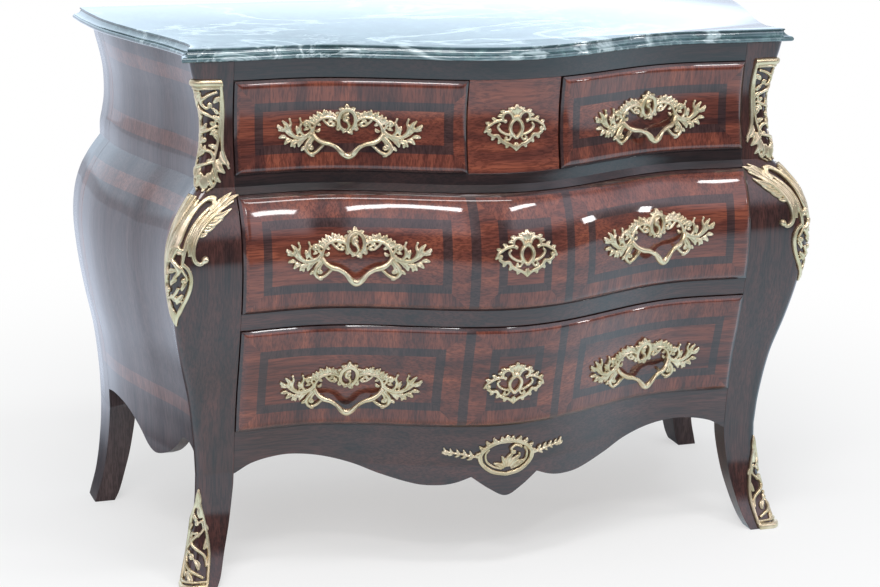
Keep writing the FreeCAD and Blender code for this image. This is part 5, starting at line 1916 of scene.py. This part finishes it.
@dataclass
class Studio:
    """Floor, light and the camera in front of the chest's left corner, in metres and degrees."""

    place: Triple = (-1.34053, -3.64608, 1.46225)
    azimuth: float = 19.6677
    pitch: float = 15.1908
    roll: float = 1.2452
    focal: float = 96.087
    sensor: float = 36.0
    image_width: float = 880.0
    centre_x: float = 438.6
    view_end: float = 100.0

    def camera(self) -> None:
        """Add the camera."""
        az, pitch, roll = (math.radians(a) for a in (self.azimuth, self.pitch, self.roll))
        forward = Vector((math.sin(az) * math.cos(pitch), math.cos(az) * math.cos(pitch),
                          -math.sin(pitch)))
        level = Vector((math.cos(az), -math.sin(az), 0.0))
        rise = level.cross(forward)
        right = level * math.cos(roll) + rise * math.sin(roll)
        up = right.cross(forward)
        data = bpy.data.cameras.new("studio_camera")
        data.sensor_width = self.sensor
        data.lens = self.focal
        data.shift_x = (self.image_width / 2 - self.centre_x) / self.image_width
        data.clip_end = self.view_end
        camera = placed("studio_camera", data)
        turn = Matrix((right, up, -forward)).transposed().to_4x4()
        camera.matrix_world = Matrix.Translation(self.place) @ turn
        bpy.context.scene.camera = camera

    def build(self) -> None:
        """Set up the whole studio."""
        self.camera()
        Floor().build()
        Room().build()
        for lamp in LAMPS:
            lamp.hang()
        bpy.context.scene.view_settings.view_transform = "Standard"


@dataclass(frozen=True)
class Floor:
    """A pale floor that fades into the background, with a painted shadow of the chest in its
    mirrored tone behind the chest; each zone is where a tone changes, in metres.
    """

    paint: Colour = (.80, .80, .80)
    sheen: Colour = (.66, .87, 1.0)
    sheen_near: Colour = (.07, .07, .08)
    rear: Colour = (.66, .73, .86)
    # Painted shadow: the dark tone of the mirrored floor close behind the chest.
    rear_painted_shadow: Colour = (.03, .04, .05)
    sheen_strength: float = 1.6
    fade_zone: Place = (.25, 1.9)
    fade_low: float = .5
    painted_shadow_zone: Place = (.82, 1.2)
    front_zone: Place = (-4.6, -2.2)
    middle_zone: Place = (-.2, .2)
    mirror_zone: Place = (.35, .8)
    half: float = 9000.0
    lines: int = 7

    def build(self) -> None:
        """Make the floor: paint where it is seen, and a sheen where the lacquer mirrors it,
        darkened near the chest's back as a painted shadow.
        """
        material, wiring, place = new_material("studio_floor")
        distance = wiring.add("VectorMath", {0: place}, operation="LENGTH").outputs["Value"]
        _, depth, _ = wiring.axes(place)
        path = wiring.add("LightPath").outputs
        near, far = self.fade_zone
        fade = wiring.get("MapRange", {"Value": distance, "From Min": near, "From Max": far,
                                       "To Min": self.fade_low}, interpolation_type="SMOOTHSTEP")
        seen = wiring.get("MixShader", {
            0: wiring.times(fade, path["Is Camera Ray"]),
            1: wiring.get("BsdfDiffuse", {"Color": self.paint}),
            2: wiring.get("Emission", {"Color": WHITE, "Strength": 1.0})})
        # Painted shadow: nearer the chest than this zone, the mirrored rear floor turns dark,
        # standing in for the chest's own shadow.
        behind = wiring.step(distance, *self.painted_shadow_zone)
        far_front = wiring.step(depth, *self.front_zone)
        tone = wiring.mix(wiring.step(depth, *self.middle_zone),
                          wiring.mix(far_front, self.sheen_near, self.sheen),
                          wiring.mix(behind, self.rear_painted_shadow, self.rear))
        surface = wiring.get("MixShader", {
            0: wiring.times(wiring.step(distance, *self.mirror_zone), path["Is Glossy Ray"]),
            1: seen, 2: wiring.get("Emission", {"Color": tone, "Strength": self.sheen_strength})})
        wiring.add("OutputMaterial", {"Surface": surface})
        x, y = np.meshgrid(*[spread(-self.half, self.half, self.lines)] * 2)
        shell = Shell()
        shell.grid(np.stack([x, y, np.zeros_like(x)], axis=-1))
        shell.build("floor", material)


@dataclass(frozen=True)
class Room:
    """The room's light; each zone is where a tone changes, in shares of a ray's direction."""

    soft: Colour = (.94, .97, 1.0)
    soft_strength: float = .62
    dim: Colour = (.11, .11, .13)
    pale: Colour = (.80, .86, 1.0)
    window: Colour = (1.75, 1.75, 2.0)
    glare: Colour = (.62, .84, 1.0)
    glare_strength: float = .98
    ceiling_share: float = .82
    ceiling_rise: Place = (.40, .80)
    ceiling_fall: Place = (.80, .87)
    rear_zone: Place = (-.25, .25)
    glare_ahead: Place = (.55, .8)
    glare_rise: Place = (.02, .10)
    glare_fall: Place = (.5, .75)
    window_rise: Place = (.20, .40)
    window_fall: Place = (.62, .76)
    window_gap: Place = (.08, .28)
    window_ahead: Place = (-.05, -.30)

    def mirrored(self, wiring: Wiring) -> Socket:
        """Return what gloss shows of the room: dim at eye level, pale above and behind."""
        x, y, z = wiring.axes(wiring.add("TexCoord").outputs["Generated"])
        ceiling = wiring.plateau(z, self.ceiling_rise, self.ceiling_fall)
        room = wiring.math("MAXIMUM", wiring.times(ceiling, self.ceiling_share),
                           wiring.step(y, *self.rear_zone))
        sideways = wiring.step(wiring.math("ABSOLUTE", x), *self.window_gap)
        windows = wiring.times(wiring.plateau(z, self.window_rise, self.window_fall),
                               wiring.times(sideways, wiring.step(y, *self.window_ahead)))
        shade = wiring.mix(windows, wiring.mix(room, self.dim, self.pale), self.window)
        glare = wiring.times(wiring.step(y, *self.glare_ahead),
                             wiring.plateau(z, self.glare_rise, self.glare_fall))
        glare_light = {"Color": self.glare, "Strength": wiring.times(glare, self.glare_strength)}
        mirror_light = wiring.get("Background", {"Color": shade, "Strength": 1.0})
        return wiring.get("AddShader", {0: mirror_light, 1: wiring.get("Background", glare_light)})

    def build(self) -> None:
        """Light the room softly, with a white background where it is seen."""
        world = bpy.data.worlds.new("studio")
        world.use_nodes = True
        bpy.context.scene.world = world
        wiring = Wiring(world.node_tree)
        path = wiring.add("LightPath").outputs
        soft = wiring.get("Background", {"Color": self.soft, "Strength": self.soft_strength})
        white = wiring.get("Background", {"Color": WHITE, "Strength": 1.0})
        lit = wiring.get("MixShader", {0: path["Is Glossy Ray"], 1: soft, 2: self.mirrored(wiring)})
        seen = wiring.get("MixShader", {0: path["Is Camera Ray"], 1: lit, 2: white})
        wiring.add("OutputWorld", {"Surface": seen})


def kingwoods() -> tuple[Material, Material, list[Material]]:
    """Build the veneers of the short drawers, of the centre panel and of the two long drawers."""
    gap = DrawerFront.gap
    edge = FORM.opening_half - gap
    veneer = Kingwood()
    short = veneer.material("kingwood_short", Banding(
        (FORM.partition_half + gap, edge), (FORM.upper + gap, FORM.frieze - gap), inset=21.5))
    centre = veneer.material("kingwood_centre", Banding.bare(
        FORM.partition_half - FrontBoards.panel_gap, (FORM.upper, FORM.frieze)))
    long = [veneer.material("kingwood_" + name, Banding(
        (0, edge), (low + gap, high - gap), divide=80.5, divide_half=7.5))
        for name, low, high in (("middle", FORM.middle, FORM.upper_rail),
                                ("bottom", FORM.apron, FORM.lower_rail))]
    return short, centre, long


def main() -> None:
    """Build the chest's looks, piece by piece, and the studio round it."""
    logging.basicConfig(level=logging.INFO, format="%(name)s %(message)s")
    upright = DarkVeneer().material("dark_veneer_upright")
    lying = DarkVeneer(run=Run.ACROSS).material("dark_veneer_lying")
    # A darker copy of the lying veneer, as painted shade on the frieze and upper rail under the
    # marble's overhang and the drawers' edges.
    shaded = DarkVeneer((.008, .004, .004), (.036, .014, .012),
                        run=Run.ACROSS).material("dark_veneer_painted_shade")
    flank = SideVeneer().material("side_veneer")
    short, centre, long = kingwoods()
    MarbleTop().build()
    FrontPost().build(upright)
    RearPost().build(flank)
    SidePanel().build(flank)
    FrontBoards().build(lying, shaded, centre)
    for front, material in zip(drawer_fronts(), (short, short, *long)):
        front.build(material)
    Castings().build(Gilt().material("gilt_casting"))
    dress_inner_pieces()
    Studio().build()


if __name__ == "__main__":
    main()
